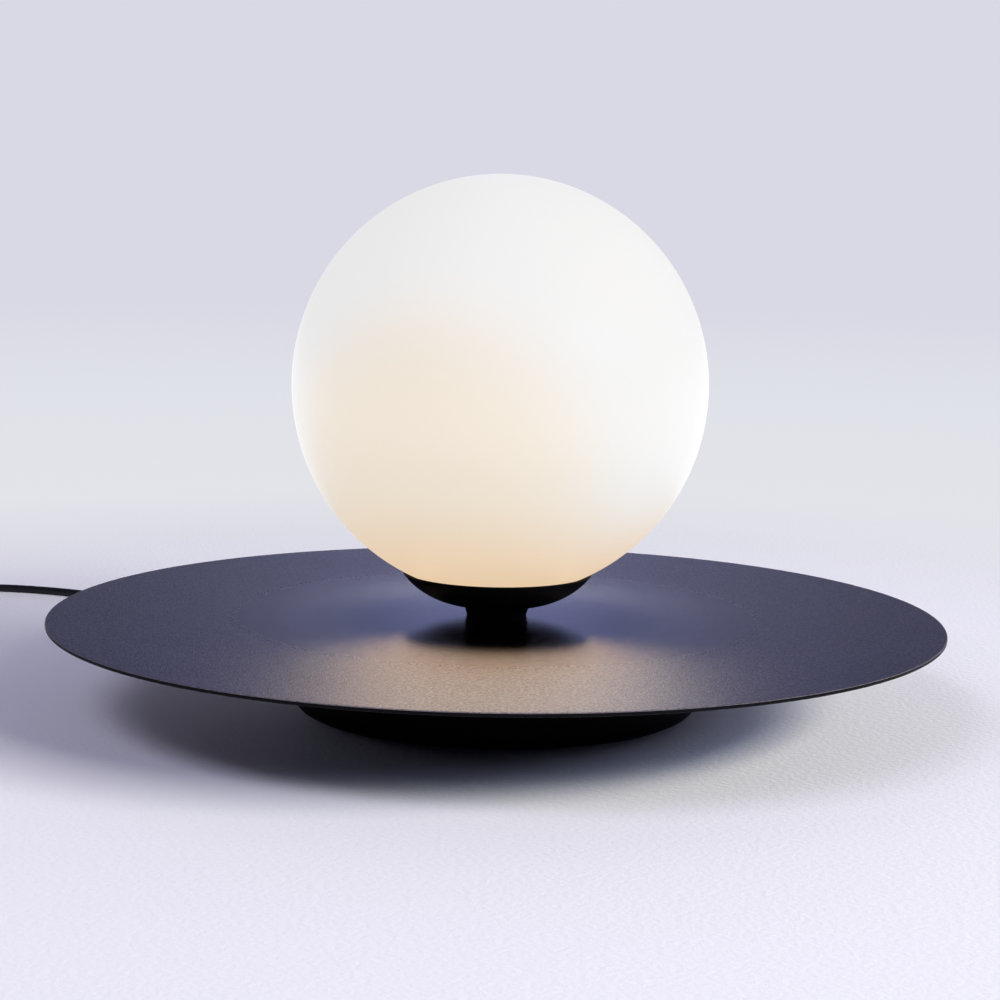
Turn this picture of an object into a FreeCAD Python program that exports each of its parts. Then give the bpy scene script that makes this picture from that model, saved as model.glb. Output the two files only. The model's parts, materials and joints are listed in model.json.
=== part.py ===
"""Table lamp: an opal globe over a round disc that tilts on a magnetic ball joint.

Millimetres, +Z up. The origin is the centre of the foot ring on the table and the front is -Y.
A heavy base holds the lower socket. The disc, the cup and the globe ride on the upper socket.
The lead leaves the back of the base, passes an inline switch and ends at a plug-in adaptor.
"""
import FreeCAD, Part
import math
import os

V = FreeCAD.Vector
UP = V(0, 0, 1)

# ---------------------------------------------------------------- driving dimensions (mm)

# Clearances
fit = 0.2                    # between pieces that are assembled and stay still
running_fit = 0.05           # radial, where a pin or a bush turns
twist_gap = 0.3              # between the globe's bayonet and its gallery

# Feet and base
foot_height = 1.6
foot_width = 9.0
foot_inset = 5.0             # foot ring inside the edge of the bottom plate
base_radius = 98.5
base_edge = 7.0              # round under the wall
base_wall_top = 21.0
base_shoulder = 3.5          # round over the wall
base_skin = 3.0
plate_thickness = 2.0
plate_rim = 3.3              # flat of the base shell outside the bottom plate
ledge_width = 4.0            # ledge that the bottom plate closes against
lip_round = 5.0              # round from the top of the base into its well
crown_gap = 4.6              # lip to the disc at full tilt
well_gap = 2.0               # upper pot to the well at full tilt
ballast_top = 15.0
channel_width = 24.0         # cable channel through the ballast
boss_radius = 5.0
boss_circle = 62.0
base_screw_radius = 2.0
base_screw_head = 3.8
base_screw_bite = 7.0        # length in the boss

# Ball joint
pivot_height = 27.0
tilt_cone = 9.9              # degrees, largest lean in any direction
ball_radius = 12.0
ball_gap = 0.15
ball_bore = 3.0
ball_flare = 5.0
socket_gap = 2.4             # centre of the ball to the rim of each pot
liner_radius = 15.6
liner_floor = 1.35
liner_step = 0.3             # liner below the rim of its pot
liner_hole = 4.5
magnet_radius = 20.3
magnet_step = 1.0            # magnet below the rim of its pot
pot_wall = 2.5
pot_floor = 3.5
pot_screw_radius = 1.5
pot_screw_circle = 15.0
pot_screw_head = 2.0
well_floor = 2.5

# Disc, neck and cup
disc_radius = 216.2
disc_top = 46.5
disc_thickness = 2.0
disc_edge = 0.5
neck_height = 5.5
neck_low_radius = 14.4
neck_top_radius = 16.0
cup_skin = 1.2
cup_flat = 15.0              # radius where the curve of the cup begins
cup_low_curve = 39.6
cup_high_curve = 29.8
cup_join = 40.4              # radius where one curve runs into the other
cup_rim_slope = 55.0         # degrees above level at the rim

# Globe
globe_radius = 100.0
globe_height_ratio = 1.01         # height over width
globe_wall = 3.0
globe_rim_gap = 0.3          # globe to the rim of the cup
globe_neck = 35.0            # outer radius of the neck
bayonet_wall = 1.4
bayonet_height = 5.6
bayonet_step = 0.4           # bayonet ring above the end of the neck
lug_depth = 1.6
lug_height = 2.0
lug_lift = 1.0               # lug above the bottom of its ring
lug_angle = 14.0             # degrees
lug_count = 3
twist_angle = 20.0           # degrees

# Light engine
heatsink_stem_height = 3.4
heatsink_plate = 6.8
gallery_web = 2.4
gallery_drop = 4.2           # rest of the gasket below the top of the heatsink
gallery_rise = 2.6           # gallery above the top of the heatsink
gallery_flange = 0.8
gallery_cover = 1.8          # thickness of the flange on the heatsink
gasket_height = 1.1
gasket_inset = 0.6
gallery_screw_radius = 1.25
gallery_screw_head = 1.3
gallery_screw_length = 4.5
board_radius = 19.3
board_thickness = 1.6
led_count = 8
led_circle = 12.5
led_size = 3.5
led_height = 0.8
diffuser_height = 12.0
diffuser_wall = 1.2
nipple_radius = 5.0
nipple_bore = 3.5
nut_flats = 14.0
nut_height = 4.0
nut_recess = 10.0
nut_seat = 4.3               # above the floor of the cup

# Leads
cord_radius = 2.25
lead_radius = 1.5
lead_gap = 0.4               # end of a fixed lead to the ball
cord_angle = 125.0           # degrees, where the lead leaves the base
straight_from_gland = 18.0
straight_to_switch = 14.0
straight_from_switch = 12.0
straight_at_coil = 13.0
straight_to_adaptor = 13.0
table_route = [(-94.0, 133.0), (-130.0, 177.0), (-167.0, 219.0), (-206.0, 256.0), (-243.0, 283.0),
               (-279.0, 299.0), (-309.0, 305.0), (-334.0, 301.0)]
table_route_end = (-347.0, 284.0)
table_route_lift = 1.4
gland_height = 11.5
gland_neck = 4.2
gland_flange = 5.8
gland_flange_depth = 2.2
gland_length = 10.0
gland_tip = 3.0
block_length = 22.0
block_width = 17.0
block_clearance = 20.3       # terminal block to the gland's inner flange

# Strain relief of the switch and the adaptor
relief_length = 15.0
relief_root = 3.9
relief_tip = 2.9
relief_neck = 3.0
relief_flange = 4.4
relief_flange_depth = 1.5

# Inline switch
switch_place = (-354.5, 205.0)
switch_heading = 264.0       # degrees, the way the lead runs through it
switch_length = 62.0
switch_width = 24.0
switch_height = 15.0
switch_corner = 7.0
switch_edge = 2.5
switch_wall = 1.6
rocker_length = 18.6
rocker_width = 10.4
rocker_wing = 4.6            # wing tip above the pin
rocker_dip = 3.0             # middle of the top above the pin
rocker_flank = 1.0
rocker_foot = 3.0
rocker_foot_length = 9.0
rocker_lean = 8.0            # degrees either way
rocker_pivot_depth = 2.5     # pin below the top of the switch
rocker_gap = 0.9             # rocker to the end of its window
rocker_side_gap = 0.3
rocker_pin_radius = 1.0
ear_thickness = 1.8
ear_reach = 2.4              # ear below the pin
switch_screw_place = (21.5, 6.5)
case_screw_radius = 1.25
case_screw_head = 2.3
case_screw_head_height = 1.4
case_boss_radius = 2.7
contact_size = (9.0, 3.0, 0.8)
contact_spread = 7.0

# Adaptor
adaptor_place = (-346.0, -30.0)
adaptor_heading = 275.0
adaptor_length = 58.0
adaptor_width = 40.0
adaptor_height = 28.0
adaptor_corner = 6.0
adaptor_edge = 2.5
adaptor_wall = 2.0
adaptor_screw_place = (18.5, 14.3)
plug_pin_radius = 2.0
plug_pin_length = 19.0
plug_pin_pitch = 18.6
plug_pin_root = 7.0          # length inside the case
plug_pin_root_radius = 2.3
pin_block_size = (5.0, 24.0, 9.0)
adaptor_board_size = (38.0, 22.0, 1.6)
adaptor_board_height = 6.0
transformer_size = (16.0, 17.0, 12.0)
capacitor_radius = 4.5
capacitor_height = 13.0

# Coil of spare lead
coil_place = (-336.0, 88.0)
coil_radius = 24.75
coil_bundle = 6.75
coil_stub = 30.0
tie_thickness = 0.8
tie_width = 7.0
tie_gap = 0.05
tie_angles = (20.0, 250.0)

# ---------------------------------------------------------------- heights and sizes that follow

plate_top = foot_height + plate_thickness
plate_radius = base_radius - base_edge - plate_rim
ledge_radius = plate_radius - ledge_width
disc_underside = disc_top - disc_thickness
neck_top = disc_top + neck_height
cup_floor = neck_top + cup_skin

lean = math.radians(tilt_cone)
hub_height = disc_underside - pivot_height
seat_radius = ball_radius + ball_gap
seat_depth = seat_radius + liner_floor
pot_bore = magnet_radius + fit
pot_radius = pot_bore + pot_wall
pot_bottom = pivot_height - seat_depth - pot_floor
well_radius = pot_radius + hub_height * math.sin(lean) + well_gap
well_underside = pot_bottom - well_floor
crown_radius = well_radius + lip_round
crown_height = pivot_height + hub_height / math.cos(lean) - crown_radius * math.tan(lean) - crown_gap
ballast_radius = ledge_radius - fit
block_circle = base_radius - base_skin - gland_flange_depth - block_clearance - block_length / 2
lead_reach = ball_radius + lead_gap

heatsink_stem = cup_flat - fit
heatsink_low = cup_floor + heatsink_stem_height
heatsink_top = heatsink_low + heatsink_plate
bayonet_outer = globe_neck - globe_wall - fit / 2
bayonet_inner = bayonet_outer - bayonet_wall
lug_inner = bayonet_inner - lug_depth
gallery_outer = bayonet_inner - twist_gap
groove_radius = lug_inner - twist_gap
gallery_inner = groove_radius - gallery_web
heatsink_radius = gallery_inner - fit
gallery_low = heatsink_top - gallery_drop
gallery_high = heatsink_top + gallery_rise
gasket_top = gallery_low + gallery_flange + gasket_height
globe_neck_end = gasket_top + fit
bayonet_low = globe_neck_end + bayonet_step
lug_low = bayonet_low + lug_lift
cover_inner = board_radius + fit
gallery_screw_circle = (cover_inner + gallery_inner) / 2
board_top = heatsink_top + board_thickness

switch_middle = switch_height / 2
rocker_pin_height = switch_height - rocker_pivot_depth
adaptor_middle = adaptor_height / 2
coil_height = coil_bundle + tie_gap + tie_thickness


# ---------------------------------------------------------------- shape helpers

def turned(*legs):
    """Solid of revolution about Z. A leg is a corner (r, z), or an arc as (point on it, its end)."""
    edges = []
    here = legs[0]
    for leg in legs[1:] + legs[:1]:
        if isinstance(leg[0], tuple):
            middle, end = leg
            edges.append(Part.Arc(V(here[0], 0, here[1]), V(middle[0], 0, middle[1]), V(end[0], 0, end[1])).toShape())
            here = end
        elif leg != here:
            edges.append(Part.LineSegment(V(here[0], 0, here[1]), V(leg[0], 0, leg[1])).toShape())
            here = leg
    return Part.Face(Part.Wire(edges)).revolve(V(0, 0, 0), UP, 360)


def on_circle(centre, radius, degrees):
    """Point of a circle in the (r, z) plane, its angle taken from the +r direction."""
    angle = math.radians(degrees)
    return (centre[0] + radius * math.cos(angle), centre[1] + radius * math.sin(angle))


def rod(radius, low, high, x=0.0, y=0.0):
    return Part.makeCylinder(radius, high - low, V(x, y, low), UP)


def level_rod(radius, start, end, height, y=0.0):
    """Cylinder along X at a given height."""
    return Part.makeCylinder(radius, end - start, V(start, y, height), V(1, 0, 0))


def block(length, width, low, high, x=0.0, y=0.0):
    """Box centred on (x, y)."""
    return Part.makeBox(length, width, high - low, V(x - length / 2, y - width / 2, low))


def ring_of(count, radius, start=0.0):
    """Places evenly spaced on a circle."""
    angles = [math.radians(start + 360.0 * i / count) for i in range(count)]
    return [(radius * math.cos(a), radius * math.sin(a)) for a in angles]


def group(solids):
    return Part.makeCompound(solids)


def join(first, *others):
    return first.multiFuse(list(others)).removeSplitter()


def sector(radius, low, high, start, sweep):
    """Wedge of a disc from angle start (degrees) through sweep."""
    wedge = Part.makeCylinder(radius, high - low, V(0, 0, low), UP, sweep)
    wedge.rotate(V(0, 0, 0), UP, start)
    return wedge


def placed(shape, place, heading):
    """Copy of a shape with its X axis turned to the heading and its origin moved to the place."""
    moved = shape.copy()
    moved.rotate(V(0, 0, 0), UP, heading)
    moved.translate(V(place[0], place[1], 0))
    return moved


def spot(place, heading, along, height):
    """Point on the X axis of something placed with a heading."""
    angle = math.radians(heading)
    return (place[0] + along * math.cos(angle), place[1] + along * math.sin(angle), height)


def lead(name, points, radius):
    """Round lead along straight runs joined by tangent arcs, each as large as its runs allow."""
    spots = [V(*point) for point in points]
    edges = []
    radii = []
    here = spots[0]
    for before, corner, after in zip(spots, spots[1:], spots[2:]):
        arriving = (corner - before).normalize()
        leaving = (after - corner).normalize()
        half_turn = arriving.getAngle(leaving) / 2
        reach = 0.45 * min(corner.distanceToPoint(before), after.distanceToPoint(corner))
        bend = reach / math.tan(half_turn)
        start = corner - arriving * reach
        end = corner + leaving * reach
        inward = (leaving - arriving).normalize()
        middle = corner + inward * (bend / math.cos(half_turn) - bend)
        edges.append(Part.LineSegment(here, start).toShape())
        edges.append(Part.Arc(start, middle, end).toShape())
        radii.append(round(bend, 1))
        here = end
    edges.append(Part.LineSegment(here, spots[-1]).toShape())
    route = Part.Wire(edges)
    section = Part.Wire([Part.makeCircle(radius, spots[0], spots[1] - spots[0])])
    solid = route.makePipeShell([section], True, False)
    expected = math.pi * radius ** 2 * route.Length
    print(name, "length", round(route.Length, 1), "bend radii", radii, "volume over section x length",
          round(solid.Volume / expected, 4))
    return solid


# ---------------------------------------------------------------- base

base_corner = (base_radius - base_shoulder, base_wall_top - base_shoulder)
crown = (crown_radius, crown_height)


def shoulder_angle():
    """Angle on the shoulder's round where the sloping top of the base touches it."""
    across = crown[0] - base_corner[0]
    rise = crown[1] - base_corner[1]
    return math.degrees(math.atan2(rise, across) - math.acos(base_shoulder / math.hypot(across, rise)))


def top_height(radius):
    """Height of the base's sloping top at a radius."""
    touch = on_circle(base_corner, base_shoulder, shoulder_angle())
    slope = (crown[1] - touch[1]) / (touch[0] - crown[0])
    return crown[1] - (radius - crown[0]) * slope


def underside_height(radius):
    """Height of the inner face of the base's top at a radius."""
    return top_height(radius) - base_skin / math.sin(math.radians(shoulder_angle()))


def base_shell():
    low = foot_height
    edge_centre = (base_radius - base_edge, low + base_edge)
    inner_edge = base_edge - base_skin
    well_outer = well_radius + base_skin
    inner_wall = base_radius - base_skin
    rebate = plate_radius + fit
    touch = shoulder_angle()
    shell = turned(
        (rebate, low),
        (edge_centre[0], low),
        (on_circle(edge_centre, base_edge, -45), (base_radius, edge_centre[1])),
        (base_radius, base_corner[1]),
        (on_circle(base_corner, base_shoulder, touch / 2), on_circle(base_corner, base_shoulder, touch)),
        crown,
        (on_circle((crown[0], crown[1] - lip_round), lip_round, 135), (well_radius, crown[1] - lip_round)),
        (well_radius, pot_bottom),
        (liner_hole, pot_bottom),
        (liner_hole, well_underside),
        (well_outer, well_underside),
        (well_outer, underside_height(well_outer)),
        (inner_wall, underside_height(inner_wall)),
        (inner_wall, edge_centre[1]),
        (on_circle(edge_centre, inner_edge, -45), (edge_centre[0], low + base_skin)),
        (ledge_radius, low + base_skin),
        (ledge_radius, plate_top),
        (rebate, plate_top),
    )
    bosses = []
    for x, y in ring_of(3, boss_circle, cord_angle + 60):
        boss = rod(boss_radius, ballast_top, top_height(boss_circle + boss_radius) - base_skin / 2, x, y)
        bosses.append(boss)
    shell = join(shell, *bosses)
    hole_top = ballast_top + base_screw_bite + fit
    for x, y in ring_of(3, boss_circle, cord_angle + 60):
        shell = shell.cut(rod(base_screw_radius + running_fit, ballast_top, hole_top, x, y))
    for x, y in ring_of(3, pot_screw_circle, cord_angle + 60):
        shell = shell.cut(rod(pot_screw_radius + fit, well_underside, pot_bottom, x, y))
    return shell.cut(gland_core())


def gland_core():
    """Neck of the gland, which fills its hole in the base's wall."""
    core = level_rod(gland_neck, base_radius - base_skin - gland_flange_depth, base_radius + gland_length, gland_height)
    return placed(core, (0, 0), cord_angle)


def cord_gland(shell):
    """Moulded bush in the wall of the base: a flange each side and a tapered tip."""
    start = base_radius - base_skin - gland_flange_depth
    end = base_radius + gland_flange_depth
    flanges = level_rod(gland_flange, start, end, gland_height)
    tip = Part.makeCone(gland_neck, gland_tip, gland_length - gland_flange_depth, V(end, 0, gland_height), V(1, 0, 0))
    whole = placed(join(flanges, tip), (0, 0), cord_angle)
    return whole.cut(shell)


def ballast():
    """Cast weight under the top of the base, with a channel for the lead."""
    inner = well_radius + base_skin + fit
    weight = rod(ballast_radius, plate_top, ballast_top).cut(rod(inner, plate_top, ballast_top))
    channel = block(ballast_radius, channel_width, plate_top, ballast_top, x=inner / 2 + ballast_radius / 2)
    weight = weight.cut(placed(channel, (0, 0), cord_angle))
    for x, y in ring_of(3, boss_circle, cord_angle + 60):
        weight = weight.cut(rod(base_screw_radius + fit, plate_top, ballast_top, x, y))
    return weight


def countersunk(radius, head, low, high, x, y, play=0.0):
    """Countersunk screw, head down and flush with the height low."""
    sink = head - radius
    cone = Part.makeCone(head + play, radius + play, sink, V(x, y, low), UP)
    return join(cone, rod(radius + play, low + sink, high, x, y))


def bottom_plate():
    plate = rod(plate_radius, foot_height, plate_top)
    for x, y in ring_of(3, boss_circle, cord_angle + 60):
        plate = plate.cut(countersunk(base_screw_radius, base_screw_head, foot_height, plate_top, x, y, fit))
    return plate


def base_screws():
    top = ballast_top + base_screw_bite
    places = ring_of(3, boss_circle, cord_angle + 60)
    return group([countersunk(base_screw_radius, base_screw_head, foot_height, top, x, y) for x, y in places])


def foot_ring():
    outer = plate_radius - foot_inset
    return rod(outer, 0, foot_height).cut(rod(outer - foot_width, 0, foot_height))


def terminal_block():
    body = block(block_length, block_width, plate_top, 2 * gland_height - plate_top, x=block_circle)
    for x, y in terminal_spots():
        body = body.cut(rod(lead_radius, gland_height, 2 * gland_height - plate_top, x, y))
    return placed(body, (0, 0), cord_angle)


def terminal_spots():
    reach = (block_length / 4, block_width / 4)
    return [(block_circle + i * reach[0], j * reach[1]) for i in (-1, 1) for j in (-1, 1)]


def terminal_screws():
    top = 2 * gland_height - plate_top
    screws = [rod(lead_radius - running_fit, gland_height, top - lead_radius, x, y) for x, y in terminal_spots()]
    return placed(group(screws), (0, 0), cord_angle)


# ---------------------------------------------------------------- ball joint

def socket_pot(side, floor, hole):
    """Steel pot of a magnetic socket, open towards the ball: side is 1 above the ball and -1 below it."""
    def at(radius, height):
        return (radius, pivot_height + side * height)
    return turned(at(hole, seat_depth), at(pot_bore, seat_depth), at(pot_bore, socket_gap), at(pot_radius, socket_gap),
                  at(pot_radius, seat_depth + floor), at(hole, seat_depth + floor))


def socket_magnet(side):
    def at(radius, height):
        return (radius, pivot_height + side * height)
    inner = liner_radius + running_fit
    low = socket_gap + magnet_step
    return turned(at(inner, low), at(magnet_radius, low), at(magnet_radius, seat_depth), at(inner, seat_depth))


def socket_liner(side):
    """Plastic bush with a round seat for the ball."""
    def at(radius, height):
        return (radius, pivot_height + side * height)
    low = socket_gap + liner_step
    first = math.degrees(math.asin(low / seat_radius))
    last = math.degrees(math.acos(liner_hole / seat_radius))
    start = on_circle((0, 0), seat_radius, first)
    middle = on_circle((0, 0), seat_radius, (first + last) / 2)
    end = on_circle((0, 0), seat_radius, last)
    return turned(at(liner_radius, low), at(*start), (at(*middle), at(*end)), at(liner_hole, seat_depth),
                  at(liner_radius, seat_depth))


def pivot_ball():
    """Steel ball with a bore for the lead, flared at both mouths."""
    mouth = math.sqrt(ball_radius ** 2 - ball_flare ** 2)
    throat = ball_radius / 3
    return turned((ball_bore, pivot_height - throat), (ball_bore, pivot_height + throat),
                  (ball_flare, pivot_height + mouth), ((ball_radius, pivot_height), (ball_flare, pivot_height - mouth)))


def lower_pot():
    pot = socket_pot(-1, pot_floor, liner_hole)
    for x, y in ring_of(3, pot_screw_circle, cord_angle + 60):
        pot = pot.cut(rod(pot_screw_radius + running_fit, pot_bottom, pot_bottom + pot_floor, x, y))
    return pot


def pot_screws():
    screws = []
    for x, y in ring_of(3, pot_screw_circle, cord_angle + 60):
        shank = rod(pot_screw_radius, well_underside, pot_bottom + pot_floor - fit, x, y)
        head = rod(2 * pot_screw_radius, well_underside - pot_screw_head, well_underside, x, y)
        screws.append(join(shank, head))
    return group(screws)


# ---------------------------------------------------------------- disc, neck, cup and globe

def disc():
    hole = nipple_radius + fit
    rim = disc_radius - disc_edge
    return turned((hole, disc_underside), (rim, disc_underside), (disc_radius, disc_underside + disc_edge),
                  (disc_radius, disc_top - disc_edge), (rim, disc_top), (hole, disc_top))


def neck_cone():
    hole = nipple_radius + fit
    return turned((hole, disc_top), (neck_low_radius, disc_top), (neck_top_radius, neck_top), (hole, neck_top))


# The cup's two curves: centres in (r, z), and angles of their ends taken from straight down
low_centre = (cup_flat, neck_top + cup_low_curve)
join_angle = math.degrees(math.asin((cup_join - cup_flat) / cup_low_curve))
high_centre = on_circle(low_centre, cup_low_curve - cup_high_curve, join_angle - 90)
cup_rim = on_circle(high_centre, cup_high_curve, cup_rim_slope - 90)
cup_inner_rim = on_circle(high_centre, cup_high_curve - cup_skin, cup_rim_slope - 90)
bend_angle = (join_angle + cup_rim_slope) / 2


def cup():
    hole = nipple_radius + fit
    inner_low = cup_low_curve - cup_skin
    inner_high = cup_high_curve - cup_skin
    return turned(
        (hole, neck_top),
        (cup_flat, neck_top),
        (on_circle(low_centre, cup_low_curve, join_angle / 2 - 90), on_circle(low_centre, cup_low_curve, join_angle - 90)),
        (on_circle(high_centre, cup_high_curve, bend_angle - 90), cup_rim),
        cup_inner_rim,
        (on_circle(high_centre, inner_high, bend_angle - 90), on_circle(low_centre, inner_low, join_angle - 90)),
        (on_circle(low_centre, inner_low, join_angle / 2 - 90), (cup_flat, cup_floor)),
        (hole, cup_floor),
    )


globe_half_height = globe_radius * globe_height_ratio
globe_seat_radius = cup_inner_rim[0] - globe_rim_gap
globe_centre = cup_inner_rim[1] + globe_half_height * math.sqrt(1 - (globe_seat_radius / globe_radius) ** 2)


def globe_arc(inset, radius):
    """Half-ellipse in the XZ plane from the pole down to a radius, and the height where it ends there."""
    tall = globe_half_height - inset
    wide = globe_radius - inset
    centre = V(0, 0, globe_centre)
    ellipse = Part.Ellipse(centre + V(0, 0, tall), centre + V(wide, 0, 0), centre)
    low = globe_centre - tall * math.sqrt(1 - (radius / wide) ** 2)
    pole = ellipse.parameter(centre + V(0, 0, tall))
    end = ellipse.parameter(V(radius, 0, low))
    return Part.ArcOfEllipse(ellipse, min(pole, end), max(pole, end)).toShape(), low


def globe():
    """Blown glass globe with a short straight neck."""
    inner_neck = globe_neck - globe_wall
    outside, outer_low = globe_arc(0, globe_neck)
    inside, inner_low = globe_arc(globe_wall, inner_neck)
    pole = globe_centre + globe_half_height
    corners = [V(globe_neck, 0, outer_low), V(globe_neck, 0, globe_neck_end), V(inner_neck, 0, globe_neck_end),
               V(inner_neck, 0, inner_low)]
    edges = [outside, inside, Part.LineSegment(V(0, 0, pole - globe_wall), V(0, 0, pole)).toShape()]
    edges += [Part.LineSegment(a, b).toShape() for a, b in zip(corners, corners[1:])]
    wire = Part.Wire(Part.__sortEdges__(edges))
    return Part.Face(wire).revolve(V(0, 0, 0), UP, 360)


def lug_starts():
    return [360.0 * i / lug_count for i in range(lug_count)]


def bayonet_ring():
    """Ring cemented in the globe's neck, with lugs that turn into the gallery."""
    top = bayonet_low + bayonet_height
    ring = rod(bayonet_outer, bayonet_low, top).cut(rod(bayonet_inner, bayonet_low, top))
    overlap = bayonet_wall / 2
    for start in lug_starts():
        lug = sector(bayonet_inner + overlap, lug_low, lug_low + lug_height, start, lug_angle)
        ring = join(ring, lug.cut(rod(lug_inner, lug_low, lug_low + lug_height)))
    return ring


def gallery():
    """Ring on the heatsink: bayonet grooves outside, a rest for the gasket below and a flange inside."""
    cover_top = heatsink_top + gallery_cover
    ring = turned(
        (gallery_inner, gallery_low),
        (globe_neck - gasket_inset, gallery_low),
        (globe_neck - gasket_inset, gallery_low + gallery_flange),
        (gallery_outer, gallery_low + gallery_flange),
        (gallery_outer, gallery_high),
        (gallery_inner, gallery_high),
        (gallery_inner, cover_top),
        (cover_inner, cover_top),
        (cover_inner, heatsink_top),
        (gallery_inner, heatsink_top),
    )
    play = math.degrees(twist_gap / lug_inner)
    groove_low = lug_low - twist_gap
    groove_high = lug_low + lug_height + twist_gap
    core = rod(groove_radius, groove_low, gallery_high + fit)
    for start in lug_starts():
        groove = sector(globe_neck, groove_low, groove_high, start - play, lug_angle + twist_angle + 2 * play)
        entry = sector(globe_neck, groove_low, gallery_high + fit, start + twist_angle - play, lug_angle + 2 * play)
        ring = ring.cut(join(groove, entry).cut(core))
    for x, y in ring_of(lug_count, gallery_screw_circle):
        ring = ring.cut(rod(gallery_screw_radius + fit, heatsink_top, cover_top, x, y))
    return ring


def gallery_screws():
    seat = heatsink_top + gallery_cover
    screws = []
    for x, y in ring_of(lug_count, gallery_screw_circle):
        shank = rod(gallery_screw_radius, heatsink_top - gallery_screw_length, seat, x, y)
        screws.append(join(shank, rod(1.8 * gallery_screw_radius, seat, seat + gallery_screw_head, x, y)))
    return group(screws)


def globe_gasket():
    low = gallery_low + gallery_flange
    outer = globe_neck - gasket_inset
    return rod(outer, low, gasket_top).cut(rod(bayonet_outer, low, gasket_top))


# ---------------------------------------------------------------- light engine

def heatsink():
    hole = nipple_radius + fit
    seat = cup_floor + nut_seat
    body = turned((hole, cup_floor), (heatsink_stem, cup_floor), (heatsink_stem, heatsink_low),
                  (heatsink_radius, heatsink_low), (heatsink_radius, heatsink_top), (nut_recess, heatsink_top),
                  (nut_recess, seat), (hole, seat))
    for x, y in ring_of(lug_count, gallery_screw_circle):
        depth = heatsink_top - gallery_screw_length - fit
        body = body.cut(rod(gallery_screw_radius + running_fit, depth, heatsink_top, x, y))
    return body


def lamp_nipple():
    """Threaded tube that clamps the disc, the neck, the cup and the heatsink to the upper pot."""
    low = pivot_height + seat_depth + fit
    high = cup_floor + nut_seat + nut_height + fit
    return rod(nipple_radius, low, high).cut(rod(nipple_bore, low, high))


def nipple_nut():
    seat = cup_floor + nut_seat
    corners = [V(x, y, seat) for x, y in ring_of(6, nut_flats / math.sqrt(3))]
    hexagon = Part.Face(Part.makePolygon(corners + corners[:1]))
    return hexagon.extrude(UP * nut_height).cut(rod(nipple_radius + running_fit, seat, seat + nut_height))


def led_board():
    return rod(board_radius, heatsink_top, board_top)


def leds():
    places = ring_of(led_count, led_circle) + [(0.0, 0.0)]
    return group([block(led_size, led_size, board_top, board_top + led_height, x, y) for x, y in places])


def led_diffuser():
    """Small opal dome over the board."""
    outer = board_radius - fit
    inner = outer - diffuser_wall
    shoulder = board_top + diffuser_height / 3
    top = board_top + diffuser_height
    def dome(radius, crest):
        rise = crest - shoulder
        bend = (radius ** 2 + rise ** 2) / (2 * rise)
        half = math.degrees(math.asin(radius / bend)) / 2
        return on_circle((0, crest - bend), bend, 90 - half)
    return turned((inner, board_top), (outer, board_top), (outer, shoulder), (dome(outer, top), (0, top)),
                  (0, top - diffuser_wall), (dome(inner, top - diffuser_wall), (inner, shoulder)))


# ---------------------------------------------------------------- leads inside the lamp

def supply_lead():
    """From the gland to the terminal block."""
    start = base_radius - base_skin - gland_flange_depth
    end = block_circle + block_length / 2
    return placed(level_rod(cord_radius, end, start, gland_height), (0, 0), cord_angle)


def base_lead():
    """From the terminal block, under the well, up to the ball."""
    height = (plate_top + well_underside) / 2
    block_face = block_circle - block_length / 2
    return lead("base_lead", [spot((0, 0), cord_angle, block_face, height), (0, 0, height),
                              (0, 0, pivot_height - lead_reach)], lead_radius)


def ball_lead():
    reach = ball_radius - lead_gap / 2
    return rod(lead_radius, pivot_height - reach, pivot_height + reach)


def upper_lead():
    return rod(lead_radius, pivot_height + lead_reach, heatsink_top)


# ---------------------------------------------------------------- cases of the switch and the adaptor

def rounded_case(length, width, height, corner, edge):
    """Box with round upright corners and rounded top and bottom edges."""
    half_x = length / 2
    half_y = width / 2
    case = block(length, width, 0, height)
    upright = [e for e in case.Edges if abs(e.tangentAt(e.FirstParameter).z) > 0.9]
    case = case.makeFillet(corner, upright)
    level = [e for e in case.Edges if e.BoundBox.ZLength < edge and e.BoundBox.DiagonalLength < 2 * (half_x + half_y)]
    return case.makeFillet(edge, level)


def hollow_case(length, width, height, corner, edge, wall):
    """Rounded case with an even wall all round."""
    outside = rounded_case(length, width, height, corner, edge)
    inside = rounded_case(length - 2 * wall, width - 2 * wall, height - 2 * wall, corner - wall, edge - wall)
    inside.translate(V(0, 0, wall))
    return outside.cut(inside)


def halves(case, middle, length, width):
    """Lower and upper part of a case, split at the height of its middle."""
    lower = case.common(block(length, width, 0, middle))
    upper = case.cut(block(length, width, 0, middle))
    return lower, upper


def strain_relief(end, wall, middle, side):
    """Moulded relief at the end wall of a case, pointing out of it: side is 1 or -1 along X."""
    inner = end - wall
    flange = level_rod(relief_flange, inner - relief_flange_depth, inner, middle)
    neck = level_rod(relief_neck, inner, end, middle)
    cone = Part.makeCone(relief_root, relief_tip, relief_length, V(end, 0, middle), V(1, 0, 0))
    relief = join(flange, neck, cone)
    if side < 0:
        relief.rotate(V(0, 0, 0), UP, 180)
    return relief


def case_boss(x, y, wall, height, middle):
    """Screw pillar between the floor and the roof of a case, split at its middle, and the hole in it."""
    pillar = rod(case_boss_radius, wall / 2, height - wall / 2, x, y)
    head = rod(case_screw_head + fit, 0, case_screw_head_height + fit, x, y)
    hole = rod(case_screw_radius + running_fit, 0, case_screw_top(middle) + fit, x, y)
    return pillar, join(head, hole)


def case_screw_top(middle):
    return middle + 4 * case_screw_radius


def case_screws(places, middle):
    screws = []
    for x, y in places:
        shank = rod(case_screw_radius, case_screw_head_height, case_screw_top(middle), x, y)
        screws.append(join(rod(case_screw_head, fit, case_screw_head_height, x, y), shank))
    return group(screws)


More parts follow.
